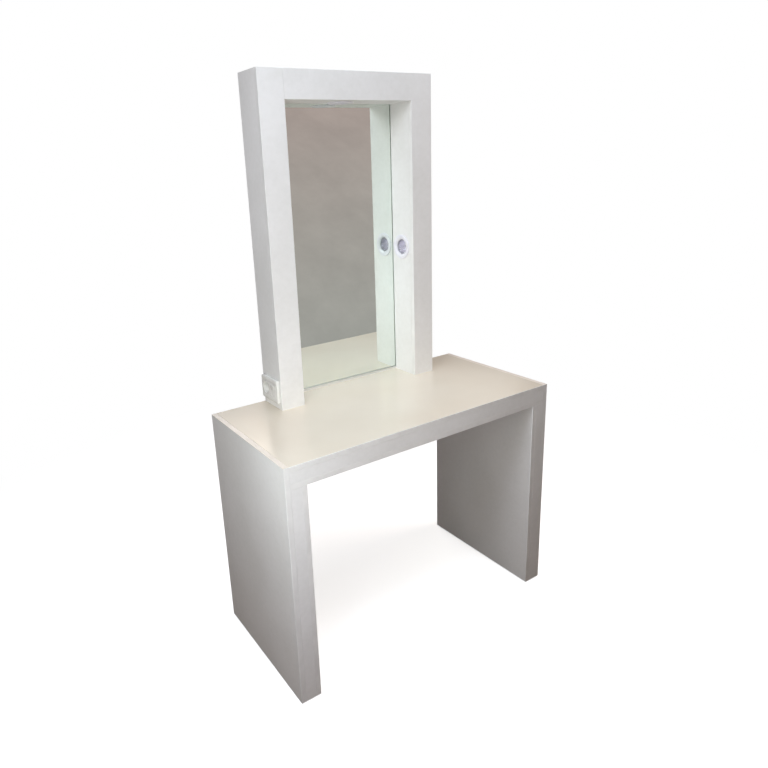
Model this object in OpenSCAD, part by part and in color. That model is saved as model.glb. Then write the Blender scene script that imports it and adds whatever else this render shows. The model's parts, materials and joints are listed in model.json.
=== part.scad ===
// Makeup station in faced board: a desk of hollow slabs that folds down into its two legs,
// and a deep mirror frame that stands on the desk's back edge. Three recessed spotlights
// light the face from the reveals and the soffit, and an outlet with a socket and a rocker
// switch sits in the frame's left side.
// Millimetres. Z is up, the front of the desk faces -Y, and the origin lies on the floor
// under the middle of the desk.

/* [Desk] */
// Width over both legs
desk_w = 1000; // [800:10:1600]
// Depth from front to back
desk_d = 480; // [400:10:650]
// Height of the desk's top face above the floor
desk_h = 750; // [650:5:900]
// Thickness of the hollow slabs that form the top and the legs
slab_t = 66; // [60:1:100]
// Thickness of the faced board
board_t = 16; // [12:1:16]
// Thickness of the edging on the boards' cut edges
edging_t = 1; // [0.6:0.2:2]
// Height of the glides under the legs
glide_h = 4; // [2:0.5:8]
// Diameter of a glide's foot
glide_d = 24; // [16:1:28]

/* [Mirror frame] */
// Width over the jambs
frame_w = 620; // [520:10:760]
// Height above the desk's top
frame_h = 1000; // [700:10:1250]
// Depth of the jambs
frame_d = 120; // [120:1:180]
// Width of the jambs and of the header, seen from the front
rail_w = 82; // [80:1:120]
// Thickness of the mirror
glass_t = 4; // [3:1:6]
// Thickness of the back panel
back_t = 3; // [2:0.5:6]
// Depth of the back panel's face behind the frame's back edge
back_inset = 2; // [1:0.5:6]
// How far the mirror laps behind the reveals and the soffit
glass_lap = 12; // [6:1:14]
// Height of the metal channel that holds the mirror's foot
channel_h = 9; // [6:1:20]

/* [Spotlights] */
// Height of the jambs' spotlights above the desk's top
spot_rise = 453; // [300:1:500]
// Diameter of the spotlight's flange
flange_d = 82; // [76:1:88]
// Height of the flange above the board
flange_t = 3.5; // [2:0.5:6]
// Diameter of the hole that a spotlight sits in
cutout_d = 68; // [64:1:72]
// Diameter of the reflector lamp
lamp_d = 49.5; // [40:0.5:50]

/* [Outlet] */
// Height of the outlet's centre above the desk's top
outlet_rise = 58; // [50:1:150]
// Width of the cover plate, along the frame's depth
plate_w = 110; // [106:1:112]
// Height of the cover plate
plate_h = 78; // [74:1:90]
// Height of the cover plate above the frame's side
plate_t = 9; // [8:0.5:12]
// Width and height of a socket or switch module's face
module_w = 45; // [44:0.5:45]
// Diameter of the socket's recess
recess_d = 39; // [36:0.5:40]
// Depth of the socket's recess
recess_h = 16; // [12:0.5:18]
// Spacing of the socket's two pin holes
pin_pitch = 19; // [17:0.5:20]
// Width of the rocker
rocker_w = 23; // [16:1:26]
// Angle that the rocker turns through
rocker_travel = 8; // [4:1:10]

/* [Cable entry] */
// Height of the cable bushing above the desk's top
bushing_rise = 120; // [110:5:240]
// Bore of the cable bushing
bushing_bore = 9; // [6:0.5:11]

/* [Hidden] */
$fn = 48;
seat = 0.3;
slip = 0.2;

// Colours
white = "#e6e6e3";
beige = "#dccfb9";
edge_white = "#efefec";
raw_board = "#c9b28a";
beech = "#d8b888";
glass = "#a9b4b4";
metal = "#c4c7c9";
brass = "#c7a34f";
nylon = "#d9d9d4";
dark = "#4a4b4d";

// Desk: faces and centres that the pieces share
half_w = desk_w / 2;
half_d = desk_d / 2;
core_t = slab_t - 2 * board_t;
panel_in = half_w - board_t;
leg_in = half_w - slab_t;
leg_mid = half_w - board_t - core_t / 2;
slab_z = desk_h - slab_t;
under_z = slab_z + board_t;
top_z = desk_h - board_t;
core_front = board_t - half_d;
dowel_d = 8;
dowel_len = 40;
dowel_foot = slab_z - board_t + 1;
dowel_rows = [-half_d / 2, 0, half_d / 2];
glide_inset = 40;
glide_ys = [-half_d + glide_inset, 0, half_d - glide_inset];
nail_d = 2.4;
nail_len = 12;

// Mirror frame: faces and centres
half_f = frame_w / 2;
frame_top = desk_h + frame_h;
face_y = half_d - frame_d;
box_y = face_y + board_t;
side_in = half_f - board_t;
open_x = half_f - rail_w;
reveal_out = open_x + board_t;
open_z = frame_top - rail_w;
cap_z = frame_top - board_t;
panel_back = half_d - back_inset;
panel_front = panel_back - back_t;
glass_front = panel_front - glass_t;
mid_y = (box_y + glass_front) / 2;
jamb_mid = (side_in + reveal_out) / 2;
foot_top = desk_h + board_t;
batten_w = 16;
cable_hole_d = 24;
cable_hole_y = mid_y + 20;
cable_hole_z = open_z + rail_w / 2;
bolt_d = 6;
bolt_hole_d = 7;
bolt_spread = 22;
bolt_ys = [mid_y - bolt_spread, mid_y + bolt_spread];
bolt_short = 2;
bolt_room = 25;
batten_x = jamb_mid - bolt_room - board_t / 2;
batten_xs = [-leg_mid, -batten_x, 0, batten_x, leg_mid];
head_d = 10;
head_h = 5.5;
washer_d = 16;
washer_t = 1.5;
access_d = 18;
cap_flange_d = 22;
cap_flange_t = 1.6;
cap_stem_h = 6;
cap_wall = 1.5;

// Mirror and back panel
glass_x = open_x + glass_lap;
channel_t = 1.2;
glass_foot = desk_h + channel_t + seat;
screw_d = 3.5;
pilot_d = 2.8;
clear_d = 4.1;
screw_head_d = 7;
screw_head_h = 1.6;
screw_len = 14;
low_screw = 110;
high_screw = 40;
screw_step = (cap_z - foot_top - low_screw - high_screw) / 4;
back_screws_z = [for (i = [0:4]) foot_top + low_screw + i * screw_step];
back_screws_x = [for (i = [-1:1]) i * (open_x - high_screw)];

// Spotlights: a local frame whose +Z is the way that the light leaves the board
z_spot = desk_h + spot_rise;
spot_at = [[-open_x, mid_y, z_spot], [open_x, mid_y, z_spot], [0, mid_y, open_z]];
spot_turn = [[0, 90, 0], [0, -90, 0], [180, 0, 0]];
flange_r = flange_d / 2;
collar_r = cutout_d / 2 - 0.6;
collar_wall = 2;
collar_h = board_t + 4;
lamp_r = lamp_d / 2;
lamp_rim_h = 3;
lamp_seat_z = -6;
bowl_h = 28;
bowl_neck_r = 9;
bowl_wall = 1.3;
lamp_base = [13, 8, 8];
lamp_end_z = lamp_seat_z - bowl_h - lamp_base[2];
lamp_pin_pitch = 5.3;
lamp_pin_d = 1.5;
lamp_pin_h = 6;
holder = [20, 11, 14];
holder_end_z = lamp_end_z - seat - holder[2];
leaf_t = 0.8;
leaf_w = 8;

// Transformer on the soffit, and the terminal block on the left foot rail
trafo = [105, 36, 22];
trafo_inset = 28;
trafo_fore = 17.5;
trafo_x = trafo_inset - open_x;
trafo_y = mid_y - trafo_fore;
trafo_z = open_z + board_t;
ear = 10;
ear_t = 3;
pole_pitch = 10;
block = [14, 3 * pole_pitch, 18];
block_gap = 10;
block_fore = 6;
block_at = [-(reveal_out + block_gap + block[0]), box_y + block_fore, foot_top];

// Outlet: a local frame whose +Z leaves the side panel, +X runs to the front and +Y is up
outlet_at = [-half_f, mid_y, desk_h + outlet_rise];
outlet_turn = [90, 0, -90];
pitch = module_w + 0.5;
pair_w = pitch + module_w + 0.6;
box_wall = 1.2;
box_w = pair_w + 2 * box_wall;
box_h = module_w + 0.6 + 2 * box_wall;
box_depth = 40;
rim_t = 1.5;
mount_t = 3.5;
shoulder_z = rim_t + mount_t;
outlet_screw_y = plate_h / 2 - 9;
face_z = plate_t + 0.5;
body_w = 41;
body_h = 43.4;
body_z = -16;
pin_d = 5.2;
sleeve_d = 7;
sleeve_bore = 5;
sleeve_len = 8;
recess_z = face_z - recess_h;

// Rocker: its parts are placed from the pivot, with +Z out of the plate
pivot_z = -1;
tilt = rocker_travel / 2;
rocker_r = 20.6;
rocker_dip = face_z - pivot_z - 0.85;
rocker_skirt = rocker_dip - 3;
trunnion_d = 3;
trunnion_len = 2.5;
trunnion_play = 0.05;
cheek_t = 2;
boss_d = 8;
boss_end = -4;
plunger_d = 4.6;
plunger_tip = -8;
plunger_back = -1;
bore_top = 5.6;
bridge_pivot = -9.1;
bridge_t = 0.8;
bridge_ratio = 1.25;
bridge_half = 9;
bridge_swing = tilt * bridge_ratio;
bead_r = 0.35;
contact_d = 2.6;
contact_y = 7.4;
contact_drop = 0.6;
contact_gap = 0.05;
tail_end = -20;

// Leads
lamp_lead_d = 3;
lamp_lead_bend = 4;
feed_lead_d = 3.4;
feed_lead_bend = 5;
feed_in = 11;
feed_fore = 33.5;
lamp_lead_step = 12;
lamp_lead_jog = 60;
feed_lead_jog = 70;
lead_sides = 8;
bend_steps = 4;

// Shared shapes

// A box between two corners
module slab(lo, hi) {
    translate(lo) cube(hi - lo);
}

// The left piece, and the right piece as its mirror image
module both_sides() {
    children();
    mirror([1, 0, 0]) children();
}

// A rectangle about the origin with round corners
module round_rect(w, h, r) {
    square([w - 2 * r, h], center = true);
    square([w, h - 2 * r], center = true);
    for (x = [-1, 1], y = [-1, 1])
        translate([x * (w / 2 - r), y * (h / 2 - r)]) circle(r = r, $fn = 32);
}

// Section of an edging strip as wide as a board, its back on the X axis and its arrises round
module edging_section(w = board_t) {
    r = edging_t;
    translate([r, 0]) square([w - 2 * r, r]);
    intersection() {
        union() {
            translate([r, 0]) circle(r = r, $fn = 24);
            translate([w - r, 0]) circle(r = r, $fn = 24);
        }
        square([w, r]);
    }
}

// Upright edging strip that faces the front, with its board's corner at the origin
module front_edging(h, w = board_t) {
    mirror([0, 1, 0]) linear_extrude(h) edging_section(w);
}

// Upright edging strip that faces the back
module back_edging(h, w = board_t) {
    linear_extrude(h) edging_section(w);
}

// Level edging strip along X that faces the front
module front_edging_level(len) {
    translate([0, 0, board_t]) rotate([0, 90, 0]) mirror([0, 1, 0]) linear_extrude(len) edging_section();
}

// Round bar along Z with chamfered ends, as a turned dowel
module dowel(d, h, chamfer = 1) {
    rotate_extrude() polygon([[0, 0], [d / 2 - chamfer, 0], [d / 2, chamfer], [d / 2, h - chamfer],
        [d / 2 - chamfer, h], [0, h]]);
}

// Routes of the leads: corners rounded, and a normal carried along from point to point
function unit(v) = v / norm(v);
function corner(a, b, c, r) = let (p = b - r * unit(b - a), q = b + r * unit(c - b))
    [for (i = [0:bend_steps]) let (t = i / bend_steps)
        (1 - t) * (1 - t) * p + 2 * t * (1 - t) * b + t * t * q];
function rounded_route(p, r) = concat([p[0]],
    [for (i = [1:len(p) - 2]) each corner(p[i - 1], p[i], p[i + 1], r)],
    [p[len(p) - 1]]);
function heading(p, i) = unit(p[min(i + 1, len(p) - 1)] - p[max(i - 1, 0)]);
function carried(n, t) = unit(n - (n * t) * t);
function first_normal(t) = carried(abs(t[2]) > 0.5 ? [1, 0, 0] : [0, 0, 1], t);
function normals(p, i = 0, n = undef) = i == len(p) ? [] :
    let (t = heading(p, i), m = is_undef(n) ? first_normal(t) : carried(n, t))
    concat([m], normals(p, i + 1, m));

// Tube of a few sides along a row of points
module tube(p, d, sides) {
    n = normals(p);
    points = [for (i = [0:len(p) - 1]) let (b = cross(heading(p, i), n[i]))
        for (s = [0:sides - 1]) p[i] + d / 2 * (cos(360 * s / sides) * n[i] + sin(360 * s / sides) * b)];
    last = (len(p) - 1) * sides;
    polyhedron(points, concat(
        [[for (s = [0:sides - 1]) s]],
        [for (i = [0:len(p) - 2], s = [0:sides - 1]) let (u = (s + 1) % sides)
            [i * sides + s, (i + 1) * sides + s, (i + 1) * sides + u, i * sides + u]],
        [[for (s = [sides - 1:-1:0]) last + s]]), convexity = 8);
}

module lead(route, d, bend) {
    tube(rounded_route(route, bend), d, lead_sides);
}

// Desk top slab

module desk_top() {
    color(beige) difference() {
        slab([-panel_in, edging_t - half_d, top_z], [panel_in, half_d - edging_t, desk_h]);
        both_sides() for (y = bolt_ys)
            translate([-jamb_mid, y, top_z - 1]) cylinder(d = bolt_hole_d, h = board_t + 2);
    }
}

module desk_underside() {
    color(white) difference() {
        slab([-panel_in, edging_t - half_d, slab_z], [panel_in, half_d - edging_t, under_z]);
        both_sides() {
            for (y = bolt_ys)
                translate([-jamb_mid, y, slab_z - 1]) cylinder(d = access_d, h = board_t + 2);
            for (y = dowel_rows)
                translate([-leg_mid, y, slab_z - 1]) cylinder(d = dowel_d + slip, h = board_t + 2);
        }
    }
}

// Edging on the front and back edges of the top board and of the underside
module desk_edging() {
    color(edge_white) for (z = [top_z, slab_z]) {
        translate([-panel_in, edging_t - half_d, z]) front_edging_level(2 * panel_in);
        mirror([0, 1, 0]) translate([-panel_in, edging_t - half_d, z])
            front_edging_level(2 * panel_in);
    }
}

module desk_front_rail() {
    color(white) slab([-panel_in, -half_d, under_z], [panel_in, core_front, top_z]);
}

module desk_back_rail() {
    color(white) slab([-panel_in, -core_front, under_z], [panel_in, half_d, top_z]);
}

module desk_core_battens() {
    color(raw_board) difference() {
        for (x = batten_xs)
            slab([x - board_t / 2, core_front, under_z], [x + board_t / 2, -core_front, top_z]);
        both_sides() for (y = dowel_rows)
            translate([-leg_mid, y, dowel_foot]) cylinder(d = dowel_d + slip, h = dowel_len + seat);
    }
}

// Legs

module leg_outer_panel() {
    color(white)
        slab([-half_w, edging_t - half_d, glide_h], [-panel_in, half_d - edging_t, desk_h - edging_t]);
}

module leg_inner_panel() {
    color(white)
        slab([-leg_in - board_t, edging_t - half_d, glide_h], [-leg_in, half_d - edging_t, slab_z]);
}

module leg_front_strip() {
    color(white) slab([-panel_in, -half_d, glide_h], [-leg_in - board_t, core_front, slab_z]);
}

module leg_back_strip() {
    color(white) slab([-panel_in, -core_front, glide_h], [-leg_in - board_t, half_d, slab_z]);
}

// Rails inside each leg: the cap that takes the dowels, a middle rail and the foot
module leg_core_rails() {
    rail_zs = [glide_h, (glide_h + slab_z - board_t) / 2, slab_z - board_t];
    color(raw_board) both_sides() difference() {
        for (z = rail_zs)
            slab([-panel_in, core_front, z], [-leg_in - board_t, -core_front, z + board_t]);
        for (y = dowel_rows)
            translate([-leg_mid, y, slab_z - board_t - 1]) cylinder(d = dowel_d + slip, h = board_t + 2);
        for (y = glide_ys)
            translate([-leg_mid, y, glide_h - 1]) cylinder(d = nail_d + slip, h = nail_len + 1.5, $fn = 24);
    }
}

// Edging on the leg panels' front and back edges, and on the outer panels' top edges
module leg_edging() {
    outer_h = desk_h - glide_h;
    inner_h = slab_z - glide_h;
    color(edge_white) both_sides() {
        translate([-half_w, edging_t - half_d, glide_h]) front_edging(outer_h);
        translate([-half_w, half_d - edging_t, glide_h]) back_edging(outer_h);
        translate([-leg_in - board_t, edging_t - half_d, glide_h]) front_edging(inner_h);
        translate([-leg_in - board_t, half_d - edging_t, glide_h]) back_edging(inner_h);
        translate([-half_w, half_d - edging_t, desk_h - edging_t]) rotate([90, 0, 0])
            linear_extrude(desk_d - 2 * edging_t) edging_section();
    }
}

module leg_dowels() {
    color(beech) both_sides() for (y = dowel_rows)
        translate([-leg_mid, y, dowel_foot]) dowel(dowel_d, dowel_len);
}

// Nylon glides, each nailed into the foot rail
module glides() {
    r = glide_d / 2;
    edge = min(1.2, glide_h / 2);
    color(nylon) both_sides() for (y = glide_ys)
        translate([-leg_mid, y, 0]) rotate_extrude() polygon([[0, 0], [r - edge, 0], [r, edge],
            [r, glide_h], [nail_d / 2, glide_h], [nail_d / 2, glide_h + nail_len - 1],
            [0, glide_h + nail_len]]);
}

// Mirror frame

module stile() {
    color(white)
        slab([edging_t - half_f, face_y, desk_h], [-open_x - edging_t, box_y, frame_top - edging_t]);
}

module header_board() {
    color(white) slab([-open_x, face_y, open_z + edging_t], [open_x, box_y, frame_top - edging_t]);
}

// Edging round the front boards, and on the back edges of the sides and the cap
module frame_edging() {
    color(edge_white) {
        both_sides() {
            translate([edging_t - half_f, face_y, desk_h]) rotate(90)
                linear_extrude(frame_h) edging_section();
            translate([-open_x - edging_t, box_y, desk_h]) rotate(-90)
                linear_extrude(frame_h - edging_t) edging_section();
            translate([-half_f, half_d - edging_t, desk_h]) back_edging(frame_h);
        }
        translate([edging_t - half_f, face_y, frame_top - edging_t]) rotate([90, 0, 90])
            linear_extrude(frame_w - 2 * edging_t) edging_section();
        translate([open_x, face_y, open_z + edging_t]) rotate([-90, 0, 90])
            linear_extrude(2 * open_x) edging_section();
        mirror([0, 1, 0]) translate([-side_in, edging_t - half_d, cap_z])
            front_edging_level(2 * side_in);
    }
}

module side_panel() {
    color(white) slab([-half_f, box_y, desk_h], [-side_in, half_d - edging_t, frame_top]);
}

// The left side has the outlet's window
module left_side_panel() {
    difference() {
        side_panel();
        at_outlet() translate([0, 0, -board_t - 1]) linear_extrude(board_t + 2)
            square([box_w + 0.6, box_h + 0.6], center = true);
        at_outlet_screws() translate([0, 0, -screw_len - 1]) cylinder(d = pilot_d, h = screw_len, $fn = 24);
    }
}

module frame_cap() {
    color(white) slab([-side_in, box_y, cap_z], [side_in, half_d - edging_t, frame_top]);
}

// Reveal with its spotlight hole and, above the soffit, the hole that the leads pass through
module reveal() {
    color(white) difference() {
        slab([-reveal_out, box_y, desk_h], [-open_x, glass_front, cap_z]);
        translate([-reveal_out - 1, mid_y, z_spot]) rotate([0, 90, 0])
            cylinder(d = cutout_d, h = board_t + 2);
        translate([-reveal_out - 1, cable_hole_y, cable_hole_z]) rotate([0, 90, 0])
            cylinder(d = cable_hole_d, h = board_t + 2);
    }
}

module header_soffit() {
    color(white) difference() {
        slab([-open_x, box_y, open_z], [open_x, glass_front, open_z + board_t]);
        translate([0, mid_y, open_z - 1]) cylinder(d = cutout_d, h = board_t + 2);
        at_trafo_screws() translate([0, 0, -screw_len - 1]) cylinder(d = pilot_d, h = screw_len, $fn = 24);
    }
}

// Rails at the jambs' feet that the frame is bolted down by
module foot_rails() {
    color(raw_board) both_sides() difference() {
        slab([-side_in, box_y, desk_h], [-reveal_out, panel_front, foot_top]);
        for (y = bolt_ys)
            translate([-jamb_mid, y, desk_h - 1]) cylinder(d = bolt_d + slip, h = board_t + 2);
    }
}

// Battens that the back panel is screwed to: one up each side and one under the cap
module back_battens() {
    low = outlet_at[2] + box_h / 2 + 12;
    color(raw_board) difference() {
        union() {
            both_sides()
                slab([-side_in, panel_front - batten_w, low], [-side_in + batten_w, panel_front, cap_z]);
            slab([-open_x, panel_front - batten_w, cap_z - batten_w], [open_x, panel_front, cap_z]);
        }
        back_screw_holes(pilot_d, panel_back - screw_len - 1);
    }
}

// Holes for the back panel's screws, from the given depth to past the panel
module back_screw_holes(d, from_y) {
    at_back_screws() rotate([90, 0, 0]) translate([0, 0, panel_front - half_d])
        cylinder(d = d, h = half_d - from_y, $fn = 24);
}

// Every back panel screw's place, at the back panel's inner face
module at_back_screws() {
    both_sides() for (z = back_screws_z) translate([-side_in + batten_w / 2, panel_front, z]) children();
    for (x = back_screws_x) translate([x, panel_front, cap_z - batten_w / 2]) children();
}

module back_panel() {
    color(white) difference() {
        slab([-side_in, panel_front, desk_h], [side_in, panel_back, cap_z]);
        back_screw_holes(clear_d, panel_front - 1);
        translate([-jamb_mid, panel_front - 1, desk_h + bushing_rise]) rotate([-90, 0, 0])
            cylinder(d = bushing_bore + 7, h = back_t + 2);
    }
}

// Screw with a crossed recess, from the face that its head sits on
module pan_head_screw() {
    r = screw_head_d / 2;
    core = screw_d / 2 - 0.5;
    difference() {
        rotate_extrude($fn = 24) polygon([[0, -screw_len], [0.5, -screw_len], [core, 3 - screw_len],
            [core, 0], [r, 0], [r, 0.5], [r * 0.75, screw_head_h - 0.2], [r * 0.4, screw_head_h],
            [0, screw_head_h]]);
        for (a = [0, 90]) rotate(a)
            translate([0, 0, screw_head_h]) cube([3.4, 0.8, 1.6], center = true);
    }
}

// The screws of the back panel, of the transformer and of the outlet
module pan_head_screws() {
    color(metal) {
        at_back_screws() rotate([-90, 0, 0]) translate([0, 0, back_t]) pan_head_screw();
        at_trafo_screws() pan_head_screw();
        at_outlet_screws() pan_head_screw();
    }
}

module mirror_glass() {
    color(glass) slab([-glass_x, glass_front, glass_foot], [glass_x, panel_front, open_z + glass_lap]);
}

// Channel of pressed aluminium between the reveals, with its lip in front of the glass
module mirror_foot_channel() {
    lip = glass_front - seat - channel_t;
    color(metal) translate([-open_x, 0, desk_h]) rotate([90, 0, 90]) linear_extrude(2 * open_x) {
        translate([lip, 0]) square([panel_front - lip, channel_t]);
        translate([lip, 0]) square([channel_t, channel_h - channel_t / 2]);
        translate([lip + channel_t / 2, channel_h - channel_t / 2]) circle(d = channel_t, $fn = 24);
    }
}

// Bolts with washers that hold the frame down, put in through the underside
module frame_bolts() {
    color(metal) both_sides() for (y = bolt_ys) translate([-jamb_mid, y, top_z]) {
        translate([0, 0, -washer_t]) difference() {
            cylinder(d = washer_d, h = washer_t);
            translate([0, 0, -1]) cylinder(d = bolt_d + 2 * slip, h = washer_t + 2);
        }
        translate([0, 0, -washer_t]) difference() {
            union() {
                cylinder(d = bolt_d, h = washer_t + 2 * board_t - bolt_short);
                translate([0, 0, -head_h]) cylinder(d = head_d, h = head_h);
            }
            translate([0, 0, -head_h - 1]) cylinder(d = 5 / cos(30), h = 4, $fn = 6);
        }
    }
}

// Plastic caps that close the access holes
module access_caps() {
    r = cap_flange_d / 2;
    stem = access_d / 2 - 0.3;
    color(edge_white) both_sides() for (y = bolt_ys)
        translate([-jamb_mid, y, slab_z]) rotate_extrude() polygon([[0, -cap_flange_t],
            [r - 1.2, -cap_flange_t], [r, -0.5], [r, 0], [stem, 0], [stem, cap_stem_h],
            [stem - cap_wall, cap_stem_h], [stem - cap_wall, 0.6], [0, 0.6]]);
}

// Spotlights

module at_spot(i) {
    translate(spot_at[i]) rotate(spot_turn[i]) children();
}

// Pressed steel flange: a dished ring, the seat for the lamp's rim and the collar behind it
module spot_flange(i) {
    bore = lamp_r + 0.4;
    lip = [for (a = [0:30:90]) [flange_r - 2 + 2 * cos(a), flange_t - 2 + 2 * sin(a)]];
    color(edge_white) at_spot(i) rotate_extrude($fn = 96) polygon(concat(
        [[collar_r, 0], [flange_r, 0]], lip,
        [[flange_r - 9, flange_t], [bore + 0.6, 0.4], [bore, -0.4], [bore, lamp_seat_z],
         [lamp_r - 1.4, lamp_seat_z], [lamp_r - 1.4, lamp_seat_z - collar_wall],
         [collar_r - collar_wall, lamp_seat_z - collar_wall], [collar_r - collar_wall, -collar_h],
         [collar_r, -collar_h]]));
}

// Outer face of the lamp's bowl, from the rim down to the neck
function bowl(inset) = [for (i = [0:8]) let (u = i / 8)
    [bowl_neck_r - inset + (lamp_r - 1.6 - bowl_neck_r) * sqrt(1 - u * u), lamp_seat_z - u * bowl_h]];

// Reflector lamp: rim and bowl of glass, the capsule within it and the base with two pins
module spot_lamp(i) {
    rim_in = lamp_r - 1.2;
    outer = bowl(0);
    inner = [for (p = bowl(bowl_wall)) if (p[1] > lamp_seat_z - bowl_h + 2) p];
    color(glass) at_spot(i) {
        rotate_extrude($fn = 72) polygon(concat(
            [[lamp_r, lamp_seat_z], [lamp_r, lamp_seat_z + lamp_rim_h],
             [rim_in, lamp_seat_z + lamp_rim_h], [rim_in, lamp_seat_z + 1]],
            inner, [[0, lamp_seat_z - bowl_h + 2], [0, lamp_seat_z - bowl_h]],
            [for (k = [len(outer) - 1:-1:0]) outer[k]]));
        translate([0, 0, lamp_seat_z - bowl_h + 1]) cylinder(r = 4, h = 16, $fn = 24);
        translate([0, 0, lamp_seat_z - bowl_h + 17]) sphere(r = 4, $fn = 24);
        translate([0, 0, lamp_end_z + lamp_base[2] / 2 + 0.25])
            cube(lamp_base + [0, 0, 0.5], center = true);
        for (s = [-1, 1]) translate([s * lamp_pin_pitch / 2, 0, lamp_end_z - lamp_pin_h])
            cylinder(d = lamp_pin_d, h = lamp_pin_h + 1, $fn = 24);
    }
}

// Front glasses of the three lamps, each let into its lamp's rim
module spot_lenses() {
    color(glass, 0.5) for (i = [0:2]) at_spot(i) translate([0, 0, lamp_seat_z + 1.2])
        cylinder(r = lamp_r - 1.4, h = 1.5, $fn = 72);
}

// Leaf springs that grip the board's back, two on each collar, and the wire ring before each lamp
module spot_springs() {
    board_back = -board_t - seat;
    path = [[collar_r + 0.1, -collar_h + 1.5], [collar_r + 2.5, -collar_h - 1.5],
        [collar_r + 6, -collar_h - 0.8], [collar_r + 11.5, board_back],
        [collar_r + 14, board_back - 1.6]];
    under = [for (k = [len(path) - 1:-1:0]) path[k] - [0, leaf_t]];
    color(metal) for (i = [0:2]) at_spot(i) {
        for (s = [0, 180]) rotate(s) rotate([90, 0, 0]) linear_extrude(leaf_w, center = true)
            polygon(concat(path, under));
        rotate_extrude($fn = 72) translate([lamp_r - 0.5, lamp_seat_z + lamp_rim_h + 0.6])
            circle(d = 1, $fn = 16);
    }
}

module spot_holders() {
    color(edge_white) for (i = [0:2]) at_spot(i) translate([0, 0, holder_end_z]) difference() {
        linear_extrude(holder[2]) round_rect(holder[0], holder[1], 2);
        for (s = [-1, 1]) translate([s * lamp_pin_pitch / 2, 0, holder[2] - lamp_pin_h - 1])
            cylinder(d = lamp_pin_d + 0.4, h = lamp_pin_h + 2, $fn = 24);
    }
}

// Wiring

// Electronic transformer with a screw ear at each end
module lamp_transformer() {
    color(edge_white) difference() {
        translate([trafo_x + trafo[0] / 2, trafo_y, trafo_z]) {
            linear_extrude(trafo[2]) round_rect(trafo[0], trafo[1], 3);
            linear_extrude(ear_t) round_rect(trafo[0] + 2 * ear, trafo[1] / 2, 3);
        }
        at_trafo_screws() translate([0, 0, -ear_t - 1]) cylinder(d = clear_d, h = ear_t + 2, $fn = 24);
    }
}

// The transformer's two screws, at the top of its ears
module at_trafo_screws() {
    for (x = [-ear / 2, trafo[0] + ear / 2])
        translate([trafo_x + x, trafo_y, trafo_z + ear_t]) children();
}

// Three-pole terminal block with its screw wells
module terminal_block() {
    color(nylon) translate(block_at) difference() {
        union() {
            cube([block[0], block[1], block[2] - 6]);
            for (i = [0:2]) translate([2, 1 + i * pole_pitch, 0])
                cube([block[0] - 4, pole_pitch - 2, block[2]]);
        }
        for (i = [0:2], x = [4, block[0] - 4])
            translate([x, (i + 0.5) * pole_pitch, block[2] - 6]) cylinder(d = 3, h = 8, $fn = 24);
    }
}

// Low voltage leads from the lamp holders, through the reveals' holes, to the transformer
module lamp_leads() {
    start = -holder_end_z;
    wall_x = side_in - lamp_lead_d / 2 - 2;
    run_z = cable_hole_z - 3;
    run_y = cable_hole_y + 4;
    out_x = trafo_x + trafo[0];
    out_z = trafo_z + trafo[2] / 2;
    left_x = out_x + lamp_lead_step + lamp_lead_d;
    right_x = left_x + lamp_lead_step;
    head_x = right_x + lamp_lead_step;
    head_z = cap_z - lamp_lead_d / 2 - 3;
    // [x of the spotlight's side, x where the lead turns to the transformer, y where it ends]
    color(edge_white) for (s = [[-1, left_x, trafo_y + 8], [1, right_x, trafo_y]])
        lead([[s[0] * (open_x + start), mid_y, z_spot], [s[0] * wall_x, mid_y, z_spot],
            [s[0] * wall_x, mid_y, run_z - lamp_lead_jog],
            [s[0] * wall_x, run_y, run_z - lamp_lead_jog],
            [s[0] * wall_x, run_y, run_z], [s[1], run_y, run_z], [s[1], s[2], run_z],
            [s[1], s[2], out_z], [out_x, s[2], out_z]], lamp_lead_d, lamp_lead_bend);
    color(edge_white) lead([[0, mid_y, open_z + start], [0, mid_y, head_z], [head_x, mid_y, head_z],
        [head_x, trafo_y - 8, head_z], [head_x, trafo_y - 8, out_z], [out_x, trafo_y - 8, out_z]],
        lamp_lead_d, lamp_lead_bend);
}

// Mains leads: terminal block to socket, terminal block to switch, and switch to transformer
module feed_leads() {
    z0 = outlet_at[2];
    block_x = block_at[0] + block[0] / 2;
    block_z = block_at[2] + block[2];
    first_y = block_at[1] + pole_pitch / 2;
    next_y = first_y + pole_pitch;
    socket_y = mid_y + pitch / 2 - 6;
    switch_y = mid_y - pitch / 2;
    low_z = z0 + 1 - bridge_half;
    body_x = -half_f - body_z;
    tail_x = -half_f - tail_end;
    back_x = -half_f + box_depth;
    up_x = -side_in + feed_in;
    up_y = mid_y - feed_fore;
    run_y = cable_hole_y - 5;
    run_z = cable_hole_z + 3;
    turn_x = trafo_x - 14;
    in_z = trafo_z + 8;
    color(dark) {
        lead([[block_x, first_y, block_z], [block_x, first_y, z0 + 3],
            [block_x, mid_y, z0 + 3], [back_x - 11, mid_y, z0 + 3], [back_x - 11, socket_y, z0 + 3],
            [body_x, socket_y, z0 + 3]], feed_lead_d, feed_lead_bend);
        lead([[block_x, next_y, block_z], [block_x, next_y, low_z],
            [block_x, mid_y, low_z], [back_x - 7, mid_y, low_z], [back_x - 7, switch_y, low_z],
            [tail_x, switch_y, low_z]], feed_lead_d, feed_lead_bend);
        lead([[tail_x, switch_y, z0], [up_x, switch_y, z0], [up_x, up_y, z0],
            [up_x, up_y, run_z - feed_lead_jog], [up_x, run_y, run_z - feed_lead_jog],
            [up_x, run_y, run_z],
            [turn_x, run_y, run_z], [turn_x, trafo_y, run_z], [turn_x, trafo_y, in_z],
            [trafo_x, trafo_y, in_z]], feed_lead_d, feed_lead_bend);
    }
}

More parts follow.
